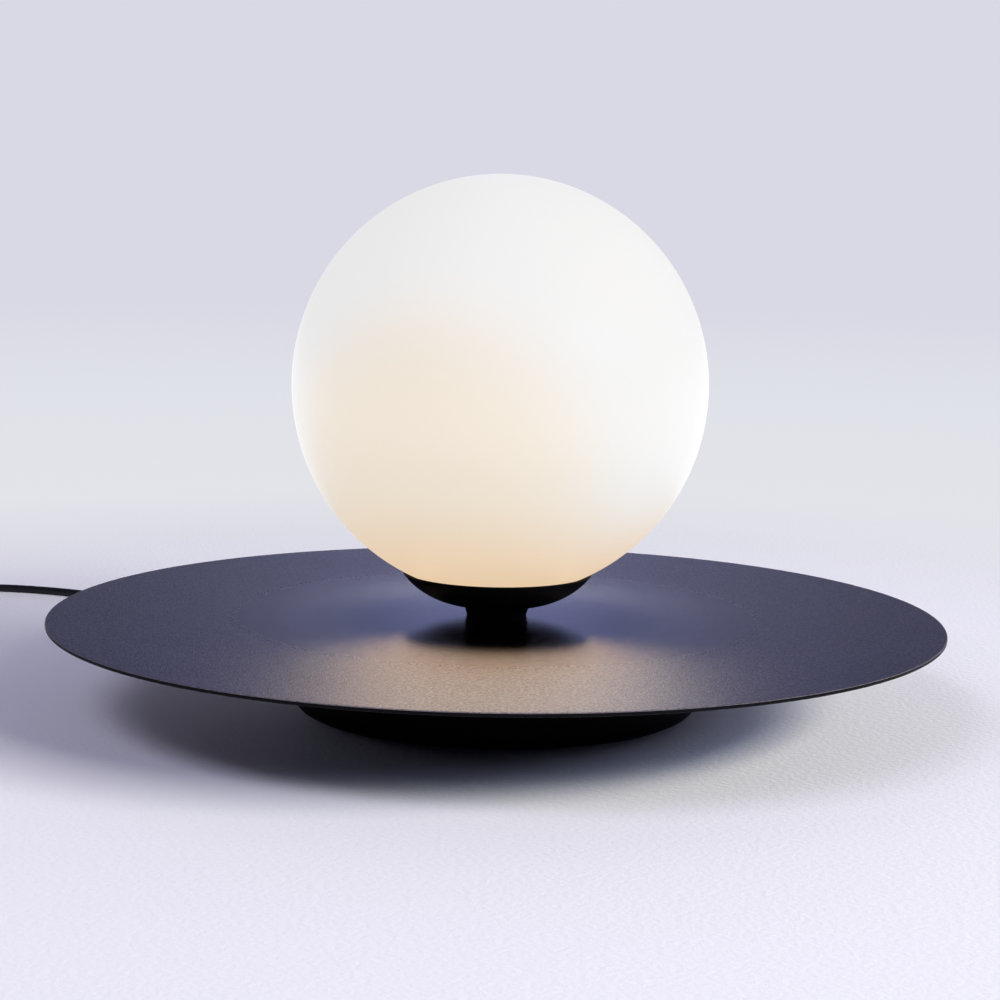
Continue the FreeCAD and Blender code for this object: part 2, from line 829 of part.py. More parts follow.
def screwed_case(size, corner, edge, wall, places):
    """Both halves of a case with its screw pillars."""
    length, width, height = size
    middle = height / 2
    case = hollow_case(length, width, height, corner, edge, wall)
    for x, y in places:
        pillar, hole = case_boss(x, y, wall, height, middle)
        case = join(case, pillar).cut(hole)
    return halves(case, middle, length, width)


# ---------------------------------------------------------------- inline switch

rocker_window = (rocker_length + 2 * rocker_gap, rocker_width + 2 * rocker_side_gap)
switch_screw_places = [switch_screw_place, (-switch_screw_place[0], -switch_screw_place[1])]


def switch_shells():
    size = (switch_length, switch_width, switch_height)
    lower, upper = screwed_case(size, switch_corner, switch_edge, switch_wall, switch_screw_places)
    upper = upper.cut(block(*rocker_window, switch_middle, switch_height))
    ear_low = rocker_pin_height - ear_reach
    for side in (-1, 1):
        middle = side * (rocker_window[1] / 2 + ear_thickness / 2)
        ear = block(4 * ear_reach, ear_thickness, ear_low, switch_height - switch_wall / 2, y=middle)
        upper = join(upper, ear)
    upper = upper.cut(pin_rod(rocker_pin_radius + running_fit, rocker_window[1] / 2 + ear_thickness))
    reliefs = level_rod(relief_neck + running_fit, -switch_length / 2, switch_length / 2, switch_middle)
    gap = block(switch_length - 2 * switch_wall, switch_width, 0, switch_height)
    reliefs = reliefs.cut(gap)
    return lower.cut(reliefs), upper.cut(reliefs)


def pin_rod(radius, reach):
    """Cylinder along Y through the rocker's pin place."""
    return Part.makeCylinder(radius, 2 * reach, V(0, -reach, rocker_pin_height), V(0, 1, 0))


def rocker_pin():
    return pin_rod(rocker_pin_radius, rocker_window[1] / 2 + ear_thickness)


def switch_rocker():
    """Rocker at rest against one stop."""
    end = rocker_length / 2
    foot = rocker_foot_length / 2
    outline = [(-end, rocker_wing), (0, rocker_dip), (end, rocker_wing), (end, rocker_flank), (foot, -rocker_foot),
               (-foot, -rocker_foot), (-end, rocker_flank)]
    corners = [V(x, -rocker_width / 2, rocker_pin_height + z) for x, z in outline]
    body = Part.Face(Part.makePolygon(corners + corners[:1])).extrude(V(0, rocker_width, 0))
    body = body.cut(pin_rod(rocker_pin_radius + running_fit, rocker_width))
    body.rotate(V(0, 0, rocker_pin_height), V(0, 1, 0), -rocker_lean)
    return body


def switch_contacts():
    """Two brass leaves on the floor of the switch, either side of the rocker's foot."""
    length, width, thickness = contact_size
    floor = switch_wall
    leaves = []
    for side in (-1, 1):
        leaf = block(length, width, floor, floor + thickness, x=side * contact_spread)
        post = block(thickness, width, floor, floor + length / 3, x=side * (contact_spread + length / 2))
        leaves.append(join(leaf, post))
    return group(leaves)


def switch_reliefs():
    end = switch_length / 2
    return group([strain_relief(end, switch_wall, switch_middle, side) for side in (-1, 1)])


# ---------------------------------------------------------------- adaptor

adaptor_screw_places = [adaptor_screw_place, (-adaptor_screw_place[0], -adaptor_screw_place[1])]
adaptor_end = adaptor_length / 2


def plug_pin_spots():
    return [-plug_pin_pitch / 2, plug_pin_pitch / 2]


def adaptor_shells():
    size = (adaptor_length, adaptor_width, adaptor_height)
    lower, upper = screwed_case(size, adaptor_corner, adaptor_edge, adaptor_wall, adaptor_screw_places)
    inner_end = adaptor_end - adaptor_wall
    holes = [level_rod(plug_pin_root_radius + running_fit, inner_end, adaptor_end, adaptor_middle, y)
             for y in plug_pin_spots()]
    holes.append(level_rod(relief_neck + running_fit, -adaptor_end, -inner_end, adaptor_middle))
    cutter = group(holes)
    post_top = adaptor_board_height
    for i in (-1, 1):
        for j in (-1, 1):
            x = i * (adaptor_board_size[0] / 2 - case_boss_radius)
            y = j * (adaptor_board_size[1] / 2 - case_boss_radius)
            lower = join(lower, rod(case_screw_radius, adaptor_wall / 2, post_top, x, y))
    return lower.cut(cutter), upper.cut(cutter)


def plug_pins():
    taper = plug_pin_radius / 2
    start = adaptor_end - plug_pin_root
    end = adaptor_end + plug_pin_length - taper
    pins = []
    for y in plug_pin_spots():
        root = level_rod(plug_pin_root_radius, start, adaptor_end, adaptor_middle, y)
        straight = level_rod(plug_pin_radius, adaptor_end, end, adaptor_middle, y)
        tip = Part.makeCone(plug_pin_radius, plug_pin_radius - taper, taper, V(end, y, adaptor_middle), V(1, 0, 0))
        pins.append(join(root, straight, tip))
    return group(pins)


def pin_block():
    """Carrier that holds the roots of the pins behind the end wall."""
    length, width, height = pin_block_size
    carrier = block(length, width, adaptor_middle - height / 2, adaptor_middle + height / 2,
                    x=adaptor_end - adaptor_wall - length / 2)
    for y in plug_pin_spots():
        hole = level_rod(plug_pin_root_radius + running_fit, 0, adaptor_end, adaptor_middle, y)
        carrier = carrier.cut(hole)
    return carrier


def adaptor_board():
    length, width, thickness = adaptor_board_size
    return block(length, width, adaptor_board_height, adaptor_board_height + thickness)


def adaptor_transformer():
    length, width, height = transformer_size
    low = adaptor_board_height + adaptor_board_size[2]
    return block(length, width, low, low + height)


def adaptor_capacitors():
    low = adaptor_board_height + adaptor_board_size[2]
    reach = adaptor_board_size[0] / 2 - capacitor_radius
    spots = [(reach, 0.0), (-reach, adaptor_board_size[1] / 2 - capacitor_radius)]
    return group([rod(capacitor_radius, low, low + capacitor_height, x, y) for x, y in spots])


# ---------------------------------------------------------------- cord, coil and tie

def cord_to_switch():
    """From the gland, under the disc and across the table, to the switch."""
    start = spot((0, 0), cord_angle, base_radius + gland_length, gland_height)
    arrive = spot(switch_place, switch_heading, -switch_length / 2 - relief_length, switch_middle)
    straight_in = spot(switch_place, switch_heading, -switch_length / 2 - relief_length - straight_to_switch,
                       switch_middle)
    straight_out = spot((0, 0), cord_angle, base_radius + gland_length + straight_from_gland, gland_height)
    route = [(x, y, cord_radius) for x, y in table_route]
    lifted = (table_route_end[0], table_route_end[1], cord_radius + table_route_lift)
    return lead("cord_to_switch", [start, straight_out, *route, lifted, straight_in, arrive], cord_radius)


def cord_to_coil():
    """From the switch to the coil of spare lead."""
    leave = spot(switch_place, switch_heading, switch_length / 2 + relief_length, switch_middle)
    straight_out = spot(switch_place, switch_heading, switch_length / 2 + relief_length + straight_from_switch,
                        switch_middle)
    side = coil_place[0] - coil_radius
    low = coil_height - coil_bundle + cord_radius
    return lead("cord_to_coil", [
        leave,
        straight_out,
        (side, coil_place[1] + coil_stub + straight_at_coil, low),
        (side, coil_place[1] + coil_stub, low),
    ], cord_radius)


def cord_to_adaptor():
    """From the coil to the adaptor."""
    arrive = spot(adaptor_place, adaptor_heading, -adaptor_end - relief_length, adaptor_middle)
    straight_in = spot(adaptor_place, adaptor_heading, -adaptor_end - relief_length - straight_to_adaptor,
                       adaptor_middle)
    side = coil_place[0] - coil_radius
    high = coil_height + coil_bundle - cord_radius
    return lead("cord_to_adaptor", [
        (side, coil_place[1] - coil_stub, high),
        (side, coil_place[1] - coil_stub - straight_at_coil, high),
        straight_in,
        arrive,
    ], cord_radius)


def cord_coil():
    """Bundle of the spare turns, with the ends of the lead running off it."""
    x, y = coil_place
    bundle = Part.makeTorus(coil_radius, coil_bundle, V(x, y, coil_height), UP)
    side = x - coil_radius
    low = coil_height - coil_bundle + cord_radius
    high = coil_height + coil_bundle - cord_radius
    arriving = Part.makeCylinder(cord_radius, coil_stub, V(side, y, low), V(0, 1, 0))
    leaving = Part.makeCylinder(cord_radius, coil_stub, V(side, y, high), V(0, -1, 0))
    return join(bundle, arriving, leaving)


def coil_ties():
    """Straps round the bundle."""
    inner = coil_bundle + tie_gap
    sweep = math.degrees(tie_width / coil_radius)
    centre = V(0, 0, coil_height)
    strap = Part.makeTorus(coil_radius, inner + tie_thickness, centre, UP, 0, 360, sweep)
    strap = strap.cut(Part.makeTorus(coil_radius, inner, centre, UP, 0, 360, sweep))
    return group([placed(strap, coil_place, angle) for angle in tie_angles])


# ---------------------------------------------------------------- all pieces

def switch_piece(shape):
    return placed(shape, switch_place, switch_heading)


def adaptor_piece(shape):
    return placed(shape, adaptor_place, adaptor_heading)


def pieces():
    shell = base_shell()
    switch_lower, switch_upper = switch_shells()
    adaptor_lower, adaptor_upper = adaptor_shells()
    return {
        "foot_ring": foot_ring(),
        "bottom_plate": bottom_plate(),
        "base_screws": base_screws(),
        "base_shell": shell,
        "ballast": ballast(),
        "cord_gland": cord_gland(shell),
        "terminal_block": terminal_block(),
        "terminal_screws": terminal_screws(),
        "supply_lead": supply_lead(),
        "base_lead": base_lead(),
        "lower_pot": lower_pot(),
        "pot_screws": pot_screws(),
        "lower_magnet": socket_magnet(-1),
        "lower_liner": socket_liner(-1),
        "pivot_ball": pivot_ball(),
        "ball_lead": ball_lead(),
        "upper_liner": socket_liner(1),
        "upper_magnet": socket_magnet(1),
        "upper_pot": socket_pot(1, hub_height - seat_depth, nipple_radius + running_fit),
        "disc": disc(),
        "neck_cone": neck_cone(),
        "cup": cup(),
        "lamp_nipple": lamp_nipple(),
        "nipple_nut": nipple_nut(),
        "heatsink": heatsink(),
        "upper_lead": upper_lead(),
        "led_board": led_board(),
        "leds": leds(),
        "led_diffuser": led_diffuser(),
        "gallery": gallery(),
        "gallery_screws": gallery_screws(),
        "globe_gasket": globe_gasket(),
        "bayonet_ring": bayonet_ring(),
        "globe": globe(),
        "cord_to_switch": cord_to_switch(),
        "switch_lower_shell": switch_piece(switch_lower),
        "switch_upper_shell": switch_piece(switch_upper),
        "switch_screws": switch_piece(case_screws(switch_screw_places, switch_middle)),
        "switch_contacts": switch_piece(switch_contacts()),
        "switch_reliefs": switch_piece(switch_reliefs()),
        "rocker_pin": switch_piece(rocker_pin()),
        "switch_rocker": switch_piece(switch_rocker()),
        "cord_to_coil": cord_to_coil(),
        "cord_coil": cord_coil(),
        "coil_ties": coil_ties(),
        "cord_to_adaptor": cord_to_adaptor(),
        "adaptor_lower_shell": adaptor_piece(adaptor_lower),
        "adaptor_upper_shell": adaptor_piece(adaptor_upper),
        "adaptor_screws": adaptor_piece(case_screws(adaptor_screw_places, adaptor_middle)),
        "adaptor_relief": adaptor_piece(strain_relief(adaptor_end, adaptor_wall, adaptor_middle, -1)),
        "adaptor_board": adaptor_piece(adaptor_board()),
        "adaptor_transformer": adaptor_piece(adaptor_transformer()),
        "adaptor_capacitors": adaptor_piece(adaptor_capacitors()),
        "pin_block": adaptor_piece(pin_block()),
        "plug_pins": adaptor_piece(plug_pins()),
    }


os.makedirs("parts", exist_ok=True)
for name, shape in pieces().items():
    shape.exportStep("parts/" + name + ".step")
    box = shape.BoundBox
    print(name, "solids", len(shape.Solids), "valid", shape.isValid(), "volume", round(shape.Volume),
          "from", [round(c, 1) for c in (box.XMin, box.YMin, box.ZMin)],
          "to", [round(c, 1) for c in (box.XMax, box.YMax, box.ZMax)])
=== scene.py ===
"""Balance lamp: opal globe, cup, wide disc on a magnetic ball joint, round base, lead, switch and adaptor."""
import json
import math

import bmesh
import bpy
from bpy.props import FloatProperty, FloatVectorProperty, IntProperty, PointerProperty
from bpy.types import Operator, Panel, PropertyGroup
from mathutils import Matrix, Vector

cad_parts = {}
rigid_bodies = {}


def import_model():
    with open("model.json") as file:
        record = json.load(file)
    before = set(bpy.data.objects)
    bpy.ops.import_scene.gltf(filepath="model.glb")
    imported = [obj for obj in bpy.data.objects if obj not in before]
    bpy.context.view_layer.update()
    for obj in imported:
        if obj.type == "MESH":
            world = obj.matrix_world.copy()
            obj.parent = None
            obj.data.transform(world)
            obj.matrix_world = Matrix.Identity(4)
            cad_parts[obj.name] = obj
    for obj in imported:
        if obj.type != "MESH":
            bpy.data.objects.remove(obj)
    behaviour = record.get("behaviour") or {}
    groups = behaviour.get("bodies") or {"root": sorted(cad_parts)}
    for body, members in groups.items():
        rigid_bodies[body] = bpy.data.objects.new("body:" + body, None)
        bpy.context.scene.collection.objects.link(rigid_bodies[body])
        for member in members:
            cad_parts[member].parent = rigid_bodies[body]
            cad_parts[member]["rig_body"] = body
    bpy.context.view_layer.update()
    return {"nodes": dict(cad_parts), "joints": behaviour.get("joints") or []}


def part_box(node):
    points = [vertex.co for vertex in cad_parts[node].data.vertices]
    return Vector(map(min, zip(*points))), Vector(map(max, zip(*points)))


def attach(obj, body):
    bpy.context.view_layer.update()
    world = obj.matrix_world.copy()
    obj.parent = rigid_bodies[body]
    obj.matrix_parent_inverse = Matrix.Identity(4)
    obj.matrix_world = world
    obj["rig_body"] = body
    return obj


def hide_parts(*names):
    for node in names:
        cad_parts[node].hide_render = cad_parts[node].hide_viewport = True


bl_info = {
    "name": "Balance Lamp",
    "version": (1, 0, 0),
    "blender": (4, 5, 0),
    "location": "View3D > Sidebar > Lamp",
    "description": "Builds the finished pieces and materials of a globe lamp that balances on a ball joint",
    "category": "Object",
}

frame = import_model()
MM = 0.001


# ---------------------------------------------------------------- sizes read from the frame

def low(node):
    """Lowest corner of a node's box."""
    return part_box(node)[0]


def high(node):
    """Highest corner of a node's box."""
    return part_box(node)[1]


def radius_of(node):
    """Half of a round node's width."""
    return (high(node).x - low(node).x) / 2


PIVOT = Vector(next(j for j in frame["joints"] if j["name"] == "lean_side")["pos_m"])


# ---------------------------------------------------------------- settings

def length(name, description, default):
    """A size in metres that a user may change."""
    return FloatProperty(name=name, description=description, default=default, min=0.0, subtype="DISTANCE",
                         unit="LENGTH", precision=5)


def colour(name, description, default):
    """A linear colour that a user may change."""
    return FloatVectorProperty(name=name, description=description, default=default, size=3, min=0.0, max=1.0,
                               subtype="COLOR")


class LampSizes(PropertyGroup):
    """Sizes that the frame doesn't hold"""
    globe_wall: length("Globe wall", "Thickness of the blown glass", 3.0 * MM)
    globe_neck: length("Globe neck", "Outer radius of the globe's neck", 35.0 * MM)
    disc_edge: length("Disc edge", "Round on the disc's rim", 0.7 * MM)
    hole: length("Clamp hole", "Radius of the hole through disc, neck and cup", 5.2 * MM)
    neck_low: length("Neck bottom", "Radius where the neck stands on the disc", 14.4 * MM)
    cup_flat: length("Cup flat", "Radius where the cup's curve begins", 15.0 * MM)
    cup_low_curve: length("Cup low curve", "Radius of the cup's lower curve", 39.6 * MM)
    cup_high_curve: length("Cup high curve", "Radius of the cup's upper curve", 29.8 * MM)
    cup_join: length("Cup join", "Distance from the axis where the two curves meet", 40.4 * MM)
    cup_skin: length("Cup skin", "Sheet thickness of the spun cup", 1.2 * MM)
    base_edge: length("Base edge", "Round under the base's wall", 7.0 * MM)
    base_shoulder: length("Base shoulder", "Round over the base's wall", 3.5 * MM)
    base_wall_top: length("Base wall top", "Height of the base's wall", 21.0 * MM)
    base_skin: length("Base skin", "Thickness of the base's casting", 3.0 * MM)
    base_lip: length("Base lip", "Round from the base's top into its well", 5.0 * MM)
    cord_width: length("Lead diameter", "Outer diameter of the lead", 4.5 * MM)
    round_steps: IntProperty(name="Round steps", description="Faces round each turned piece", default=160, min=24)


class LampColours(PropertyGroup):
    """Colours of the lamp's finishes"""
    disc: colour("Disc", "Metallic powder coat of the disc", (0.63, 0.56, 0.57))
    black: colour("Black", "Powder coat of cup, neck and base", (0.003, 0.003, 0.004))
    glass: colour("Glass", "Opal glass", (0.10, 0.098, 0.096))
    glow_low: colour("Glow low", "Light of the globe near its neck", (1.0, 0.74, 0.48))
    # Painted shade: a warmer glow on the globe's lower front, the side that takes less light.
    glow_shade_patch: colour("Glow warm", "Light of the globe's warm patch, low in front", (1.0, 0.89, 0.73))
    glow_high: colour("Glow high", "Light of the rest of the globe", (0.96, 0.955, 0.94))
    cord: colour("Lead", "Jacket of the lead", (0.008, 0.008, 0.010))
    plastic: colour("Case", "Moulded cases of the switch and the adaptor", (0.012, 0.012, 0.014))
    backdrop: colour("Backdrop", "Wall of the studio", (0.690, 0.694, 0.780))
    floor: colour("Floor", "Table top", (0.76, 0.76, 0.79))


class LampStage(PropertyGroup):
    """Camera, lights and backdrop"""
    camera_place: FloatVectorProperty(name="Camera place", description="Where the camera stands", size=3,
                                      default=(0.0, -1.1395, 0.2554), subtype="TRANSLATION", unit="LENGTH")
    camera_pitch: FloatProperty(name="Camera pitch", description="How far the camera looks down", subtype="ANGLE",
                                default=math.radians(7.63))
    camera_roll: FloatProperty(name="Camera roll", description="Turn of the camera about its own axis",
                               subtype="ANGLE", default=math.radians(0.96))
    camera_yaw: FloatProperty(name="Camera yaw", description="Turn of the camera about the upright axis",
                              subtype="ANGLE", default=math.radians(-0.04))
    camera_lens: FloatProperty(name="Lens", description="Focal length on a 36 mm sensor", default=85.53)
    key_power: FloatProperty(name="Key light", description="Power of the large soft light at the right",
                             default=240.0, unit="POWER")
    low_power: FloatProperty(name="Low light", description="Power of the cool soft light under the key light",
                             default=110.0, unit="POWER")
    fill_power: FloatProperty(name="Fill light", description="Power of the soft light at the left", default=44.0,
                              unit="POWER")
    air: FloatProperty(name="Room light", description="Strength of the light of the room's walls", default=0.32)
    gloss_colour: colour("Gloss colour", "Tint of the room in gloss, from above", (0.42, 0.495, 1.0))
    gloss_high: FloatProperty(name="Gloss high", description="Strength of the room in gloss, from above",
                              default=0.09)
    gloss_low: FloatProperty(name="Gloss low", description="Strength of the room in gloss, from the horizon",
                             default=0.29)
    near_backdrop: colour("Near backdrop", "Tone of the floor where it starts to fade", (0.76, 0.775, 0.82))
    air_colour: colour("Room colour", "Tint of the light of the room's walls", (0.78, 0.75, 1.0))
    dim: FloatProperty(name="Dim light", description="Strength of the light from everywhere else", default=0.05)
    dim_colour: colour("Dim colour", "Tint of the light from everywhere else", (0.5, 0.52, 1.0))
    horizon: FloatProperty(name="Horizon", description="Distance at which the floor runs into the backdrop",
                           default=1.0, unit="LENGTH")


# ---------------------------------------------------------------- shader helpers

class Value:
    """A number from a node's socket: arithmetic on it adds Math nodes."""

    def __init__(self, finish, socket):
        self.finish = finish
        self.socket = socket

    def math(self, operation, *values):
        """Adds one Math node."""
        names = dict(enumerate(values))
        return Value(self.finish, self.finish.node("ShaderNodeMath", {"operation": operation}, names))

    def __add__(self, other):
        return self.math("ADD", self, other)

    __radd__ = __add__

    def __sub__(self, other):
        return self.math("SUBTRACT", self, other)

    def __rsub__(self, other):
        return self.math("SUBTRACT", other, self)

    def __mul__(self, other):
        return self.math("MULTIPLY", self, other)

    __rmul__ = __mul__

    def clamp(self):
        """The value, held between 0 and 1."""
        return self.math("MAXIMUM", self.math("MINIMUM", self, 1.0), 0.0)

    def span(self, start, end, first=0.0, last=1.0, smooth=False):
        """first where the value is start, last where it is end, and even or smooth between them."""
        kind = "SMOOTHSTEP" if smooth else "LINEAR"
        socket = self.finish.node("ShaderNodeMapRange", {"interpolation_type": kind, "clamp": True},
                                  {"Value": self, "From Min": start, "From Max": end, "To Min": first,
                                   "To Max": last})
        return Value(self.finish, socket)


class NodeTree:
    """A node tree and the ways to add to it."""

    def __init__(self, tree):
        self.tree = tree

    def node(self, kind, settings=None, values=None, output=0):
        """Adds a node: its settings first, then its sockets' values or links. Returns one of its outputs."""
        made = self.tree.nodes.new(kind)
        for name, value in (settings or {}).items():
            setattr(made, name, value)
        for name, value in (values or {}).items():
            self.put(made.inputs[name], value)
        return made.outputs[output]

    def put(self, socket, value):
        """Links a value to a socket, or sets it there."""
        if isinstance(value, Value):
            value = value.socket
        if isinstance(value, bpy.types.NodeSocket):
            self.tree.links.new(value, socket)
        elif socket.type == "RGBA" and len(value) == 3:
            socket.default_value = (*value, 1.0)
        else:
            socket.default_value = value

    def ray(self, kind):
        """1 where the ray is of a kind, such as Is Camera Ray."""
        return Value(self, self.node("ShaderNodeLightPath", output=kind))

    def blend(self, share, first, second):
        """Colour between two colours."""
        return self.node("ShaderNodeMix", {"data_type": "RGBA"}, {0: share, 6: first, 7: second}, output=2)


class Finish(NodeTree):
    """A node material and the ways to build it."""

    def __init__(self, name):
        self.material = bpy.data.materials.new(name)
        self.material.use_nodes = True
        super().__init__(self.material.node_tree)
        self.shader = self.tree.nodes["Principled BSDF"]
        self.place = self.node("ShaderNodeTexCoord", output="Object")

    def set(self, **sockets):
        """Fills the shader's sockets; an underscore stands for a space."""
        for name, value in sockets.items():
            self.put(self.shader.inputs[name.replace("_", " ")], value)

    def noise(self, size, detail=2.0, roughness=0.5, where=None):
        """Noise from 0 to 1 whose grains are about size metres across."""
        socket = self.node("ShaderNodeTexNoise", None, {"Vector": where or self.place, "Scale": 1.0 / size,
                                                        "Detail": detail, "Roughness": roughness})
        return Value(self, socket)

    def cells(self, size, randomness=1.0):
        """Distance to the nearest of scattered points about size metres apart."""
        socket = self.node("ShaderNodeTexVoronoi", None, {"Vector": self.place, "Scale": 1.0 / size,
                                                          "Randomness": randomness})
        return Value(self, socket)

    def axis(self, name, centre=(0.0, 0.0, 0.0)):
        """One coordinate of the surface point, from a centre in metres."""
        moved = self.node("ShaderNodeVectorMath", {"operation": "SUBTRACT"}, {0: self.place, 1: centre})
        return Value(self, self.node("ShaderNodeSeparateXYZ", None, {0: moved}, output=name))

    def from_axis(self, centre=(0.0, 0.0, 0.0)):
        """Distance from the upright line through a centre."""
        x = self.axis("X", centre)
        y = self.axis("Y", centre)
        return (x * x + y * y).math("SQRT", x * x + y * y)

    def bump(self, height, distance):
        """Surface relief: distance is its depth in metres where height goes from 0 to 1."""
        self.set(Normal=self.node("ShaderNodeBump", None, {"Height": height, "Distance": distance}))
        return self


def shade(rgb, factor):
    """A colour made lighter or darker."""
    return tuple(min(1.0, c * factor) for c in rgb)


# ---------------------------------------------------------------- finishes

def powder_coat(name, rgb, rough, grain=0.0011, depth=0.00006, lift=1.5):
    """Baked powder paint: a fine pebbled skin, a little uneven in tone and gloss."""
    coat = Finish(name)
    pebble = coat.noise(grain, 3.0, 0.6)
    cloud = coat.noise(0.05, 2.0)
    tone = pebble.span(0.3, 0.75) * 0.6 + cloud * 0.4
    coat.set(Base_Color=coat.blend(tone, shade(rgb, 1 / lift), shade(rgb, lift)),
             Roughness=rough + (pebble - 0.5) * 0.10 + (cloud - 0.5) * 0.04, Specular_IOR_Level=0.02)
    return coat.bump(pebble, depth)


def disc_coat(rgb):
    """Metallic powder paint with fine flakes on the disc's top, smoother under the cup; the rim and underside get
    painted shade, near black and not metallic.
    """
    coat = Finish("Charcoal powder coat")
    pebble = coat.noise(0.0008, 3.0, 0.6)
    flake = coat.noise(0.0013, 2.0, 0.7).span(0.36, 0.64)
    cloud = coat.noise(0.05, 2.0)
    out = coat.from_axis().span(0.050, 0.165, smooth=True)
    # Painted shade: faces that don't look up, the rim and the underside, are near black and not metallic.
    upward = coat.node("ShaderNodeSeparateXYZ", None, {0: coat.node("ShaderNodeTexCoord", output="Normal")}, "Z")
    top = Value(coat, upward).span(0.4, 0.8)
    grain = (flake * 0.85 + cloud * 0.15 - 0.5) * (out * 0.8 + 0.2) + 0.5
    satin = coat.blend(grain, shade(rgb, 0.68), shade(rgb, 1.3))
    coat.set(Base_Color=coat.blend(top, (0.004, 0.004, 0.005), satin), Metallic=top,
             Roughness=0.07 + out * 0.27 + (flake - 0.5) * 0.02 * out, Specular_IOR_Level=0.04)
    return coat.bump(pebble * (out * 0.8 + 0.2), 0.0003)


def opal_glass(colours, neck_height, top_height):
    """Blown opal glass with a satin etch, lit from its neck; a warmer patch on its lower front is painted shade."""
    glass = Finish("Opal glass")
    tall = top_height - neck_height
    height = glass.axis("Z")
    low_glow = height.span(neck_height, neck_height + 0.30 * tall, 1.0, 0.0, smooth=True)
    centre = (0.0, 0.0, (top_height + neck_height) / 2)
    outward = glass.node("ShaderNodeVectorMath", {"operation": "SUBTRACT"}, {0: glass.place, 1: centre})
    unit = glass.node("ShaderNodeVectorMath", {"operation": "NORMALIZE"}, {0: outward})
    # Painted shade: the glow turns warmer on the globe's lower front, the side that takes less light.
    towards = glass.node("ShaderNodeVectorMath", {"operation": "DOT_PRODUCT"}, {0: unit, 1: (-0.33, -0.85, -0.41)},
                         "Value")
    shade_patch = Value(glass, towards).span(0.5, 0.97, smooth=True)
    cloud = glass.noise(0.06, 2.0)
    etch = glass.noise(0.0009, 2.0)
    glass.set(Base_Color=glass.blend(cloud, shade(colours.glass, 0.985), shade(colours.glass, 1.01)),
              Roughness=0.42 + (etch - 0.5) * 0.06, IOR=1.5,
              Emission_Color=glass.blend(low_glow, glass.blend(shade_patch, colours.glow_high, colours.glow_shade_patch),
                                         colours.glow_low), Emission_Strength=0.79)
    return glass.bump(etch, 0.000012)


def metal(name, rgb, rough, spread=0.08, fine=0.0008, turned_about=None, depth=0.000006):
    """Bare metal with fine tool marks: rings where it was turned, otherwise a brushed grain."""
    bare = Finish(name)
    if turned_about is None:
        stretched = bare.node("ShaderNodeMapping", {"vector_type": "POINT"},
                              {"Vector": bare.place, "Scale": (1.0, 1.0, 14.0)})
        marks = bare.noise(fine * 4, 3.0, 0.6, stretched)
    else:
        rings = bare.from_axis(turned_about) * (1.0 / fine)
        marks = (rings * math.tau).math("SINE", rings * math.tau) * 0.5 + 0.5
    cloud = bare.noise(0.02, 2.0)
    bare.set(Base_Color=bare.blend(cloud, shade(rgb, 0.86), shade(rgb, 1.06)), Metallic=1.0,
             Roughness=rough + (marks - 0.5) * spread + (cloud - 0.5) * spread)
    return bare.bump(marks, depth)


def moulded(name, rgb, rough, grain=0.0006, depth=0.00002, lift=1.25):
    """Moulded plastic or rubber: fine spark grain and a faint unevenness."""
    skin = Finish(name)
    spark = skin.cells(grain)
    cloud = skin.noise(0.012, 2.0)
    skin.set(Base_Color=skin.blend(cloud, shade(rgb, 1 / lift), shade(rgb, lift)),
             Roughness=rough + (spark - 0.4) * 0.12 + (cloud - 0.5) * 0.06)
    return skin.bump(spark, depth)


def jacket(name, rgb):
    """Extruded lead jacket: smooth, with a slight waviness."""
    skin = Finish(name)
    wave = skin.noise(0.004, 2.0)
    scuff = skin.noise(0.0007, 3.0)
    skin.set(Base_Color=skin.blend(scuff, shade(rgb, 0.8), shade(rgb, 1.6)), Roughness=0.5 + (scuff - 0.5) * 0.14,
             Specular_IOR_Level=0.3)
    return skin.bump(wave, 0.00005)


def strap(name, rgb):
    """Woven hook-and-loop strap."""
    cloth = Finish(name)
    weave = cloth.node("ShaderNodeTexWave", {"wave_type": "BANDS", "bands_direction": "DIAGONAL"},
                       {"Vector": cloth.place, "Scale": 260.0, "Distortion": 1.5})
    fuzz = cloth.noise(0.0005, 3.0)
    height = Value(cloth, weave) * 0.6 + fuzz * 0.4
    cloth.set(Base_Color=cloth.blend(height, shade(rgb, 0.6), shade(rgb, 2.0)), Roughness=0.85)
    return cloth.bump(height, 0.00015)


def rough_cast(name, rgb):
    """Cast iron skin with sand marks."""
    iron = Finish(name)
    sand = iron.noise(0.0016, 4.0, 0.65)
    rust = iron.noise(0.03, 3.0).span(0.55, 0.8)
    iron.set(Base_Color=iron.blend(rust * 0.5, shade(rgb, 0.9), (0.13, 0.085, 0.06)), Metallic=0.6,
             Roughness=0.7 + (sand - 0.5) * 0.2)
    return iron.bump(sand, 0.0002)


def circuit_board(name, rgb):
    """Solder mask with copper tracks under it and tinned pads."""
    board = Finish(name)
    tracks = board.node("ShaderNodeTexBrick", {"offset": 0.5},
                        {"Vector": board.place, "Scale": 160.0, "Mortar Size": 0.03, "Color1": (0, 0, 0),
                         "Color2": (0, 0, 0), "Mortar": (1, 1, 1)}, output="Fac")
    speck = board.noise(0.002, 2.0)
    board.set(Base_Color=board.blend(Value(board, tracks) * 0.7, shade(rgb, 0.8), shade(rgb, 1.9)),
              Roughness=0.34 + (speck - 0.5) * 0.1)
    return board.bump(Value(board, tracks), 0.00004)


def frosted(name, rgb, glow):
    """Frosted plastic over a light source."""
    skin = Finish(name)
    frost = skin.noise(0.0008, 2.0)
    skin.set(Base_Color=skin.blend(frost, shade(rgb, 0.95), rgb), Roughness=0.55 + (frost - 0.5) * 0.1,
             Emission_Color=skin.blend(frost, shade(glow, 0.92), glow), Emission_Strength=0.4)
    return skin.bump(frost, 0.00002)


# ---------------------------------------------------------------- mesh helpers

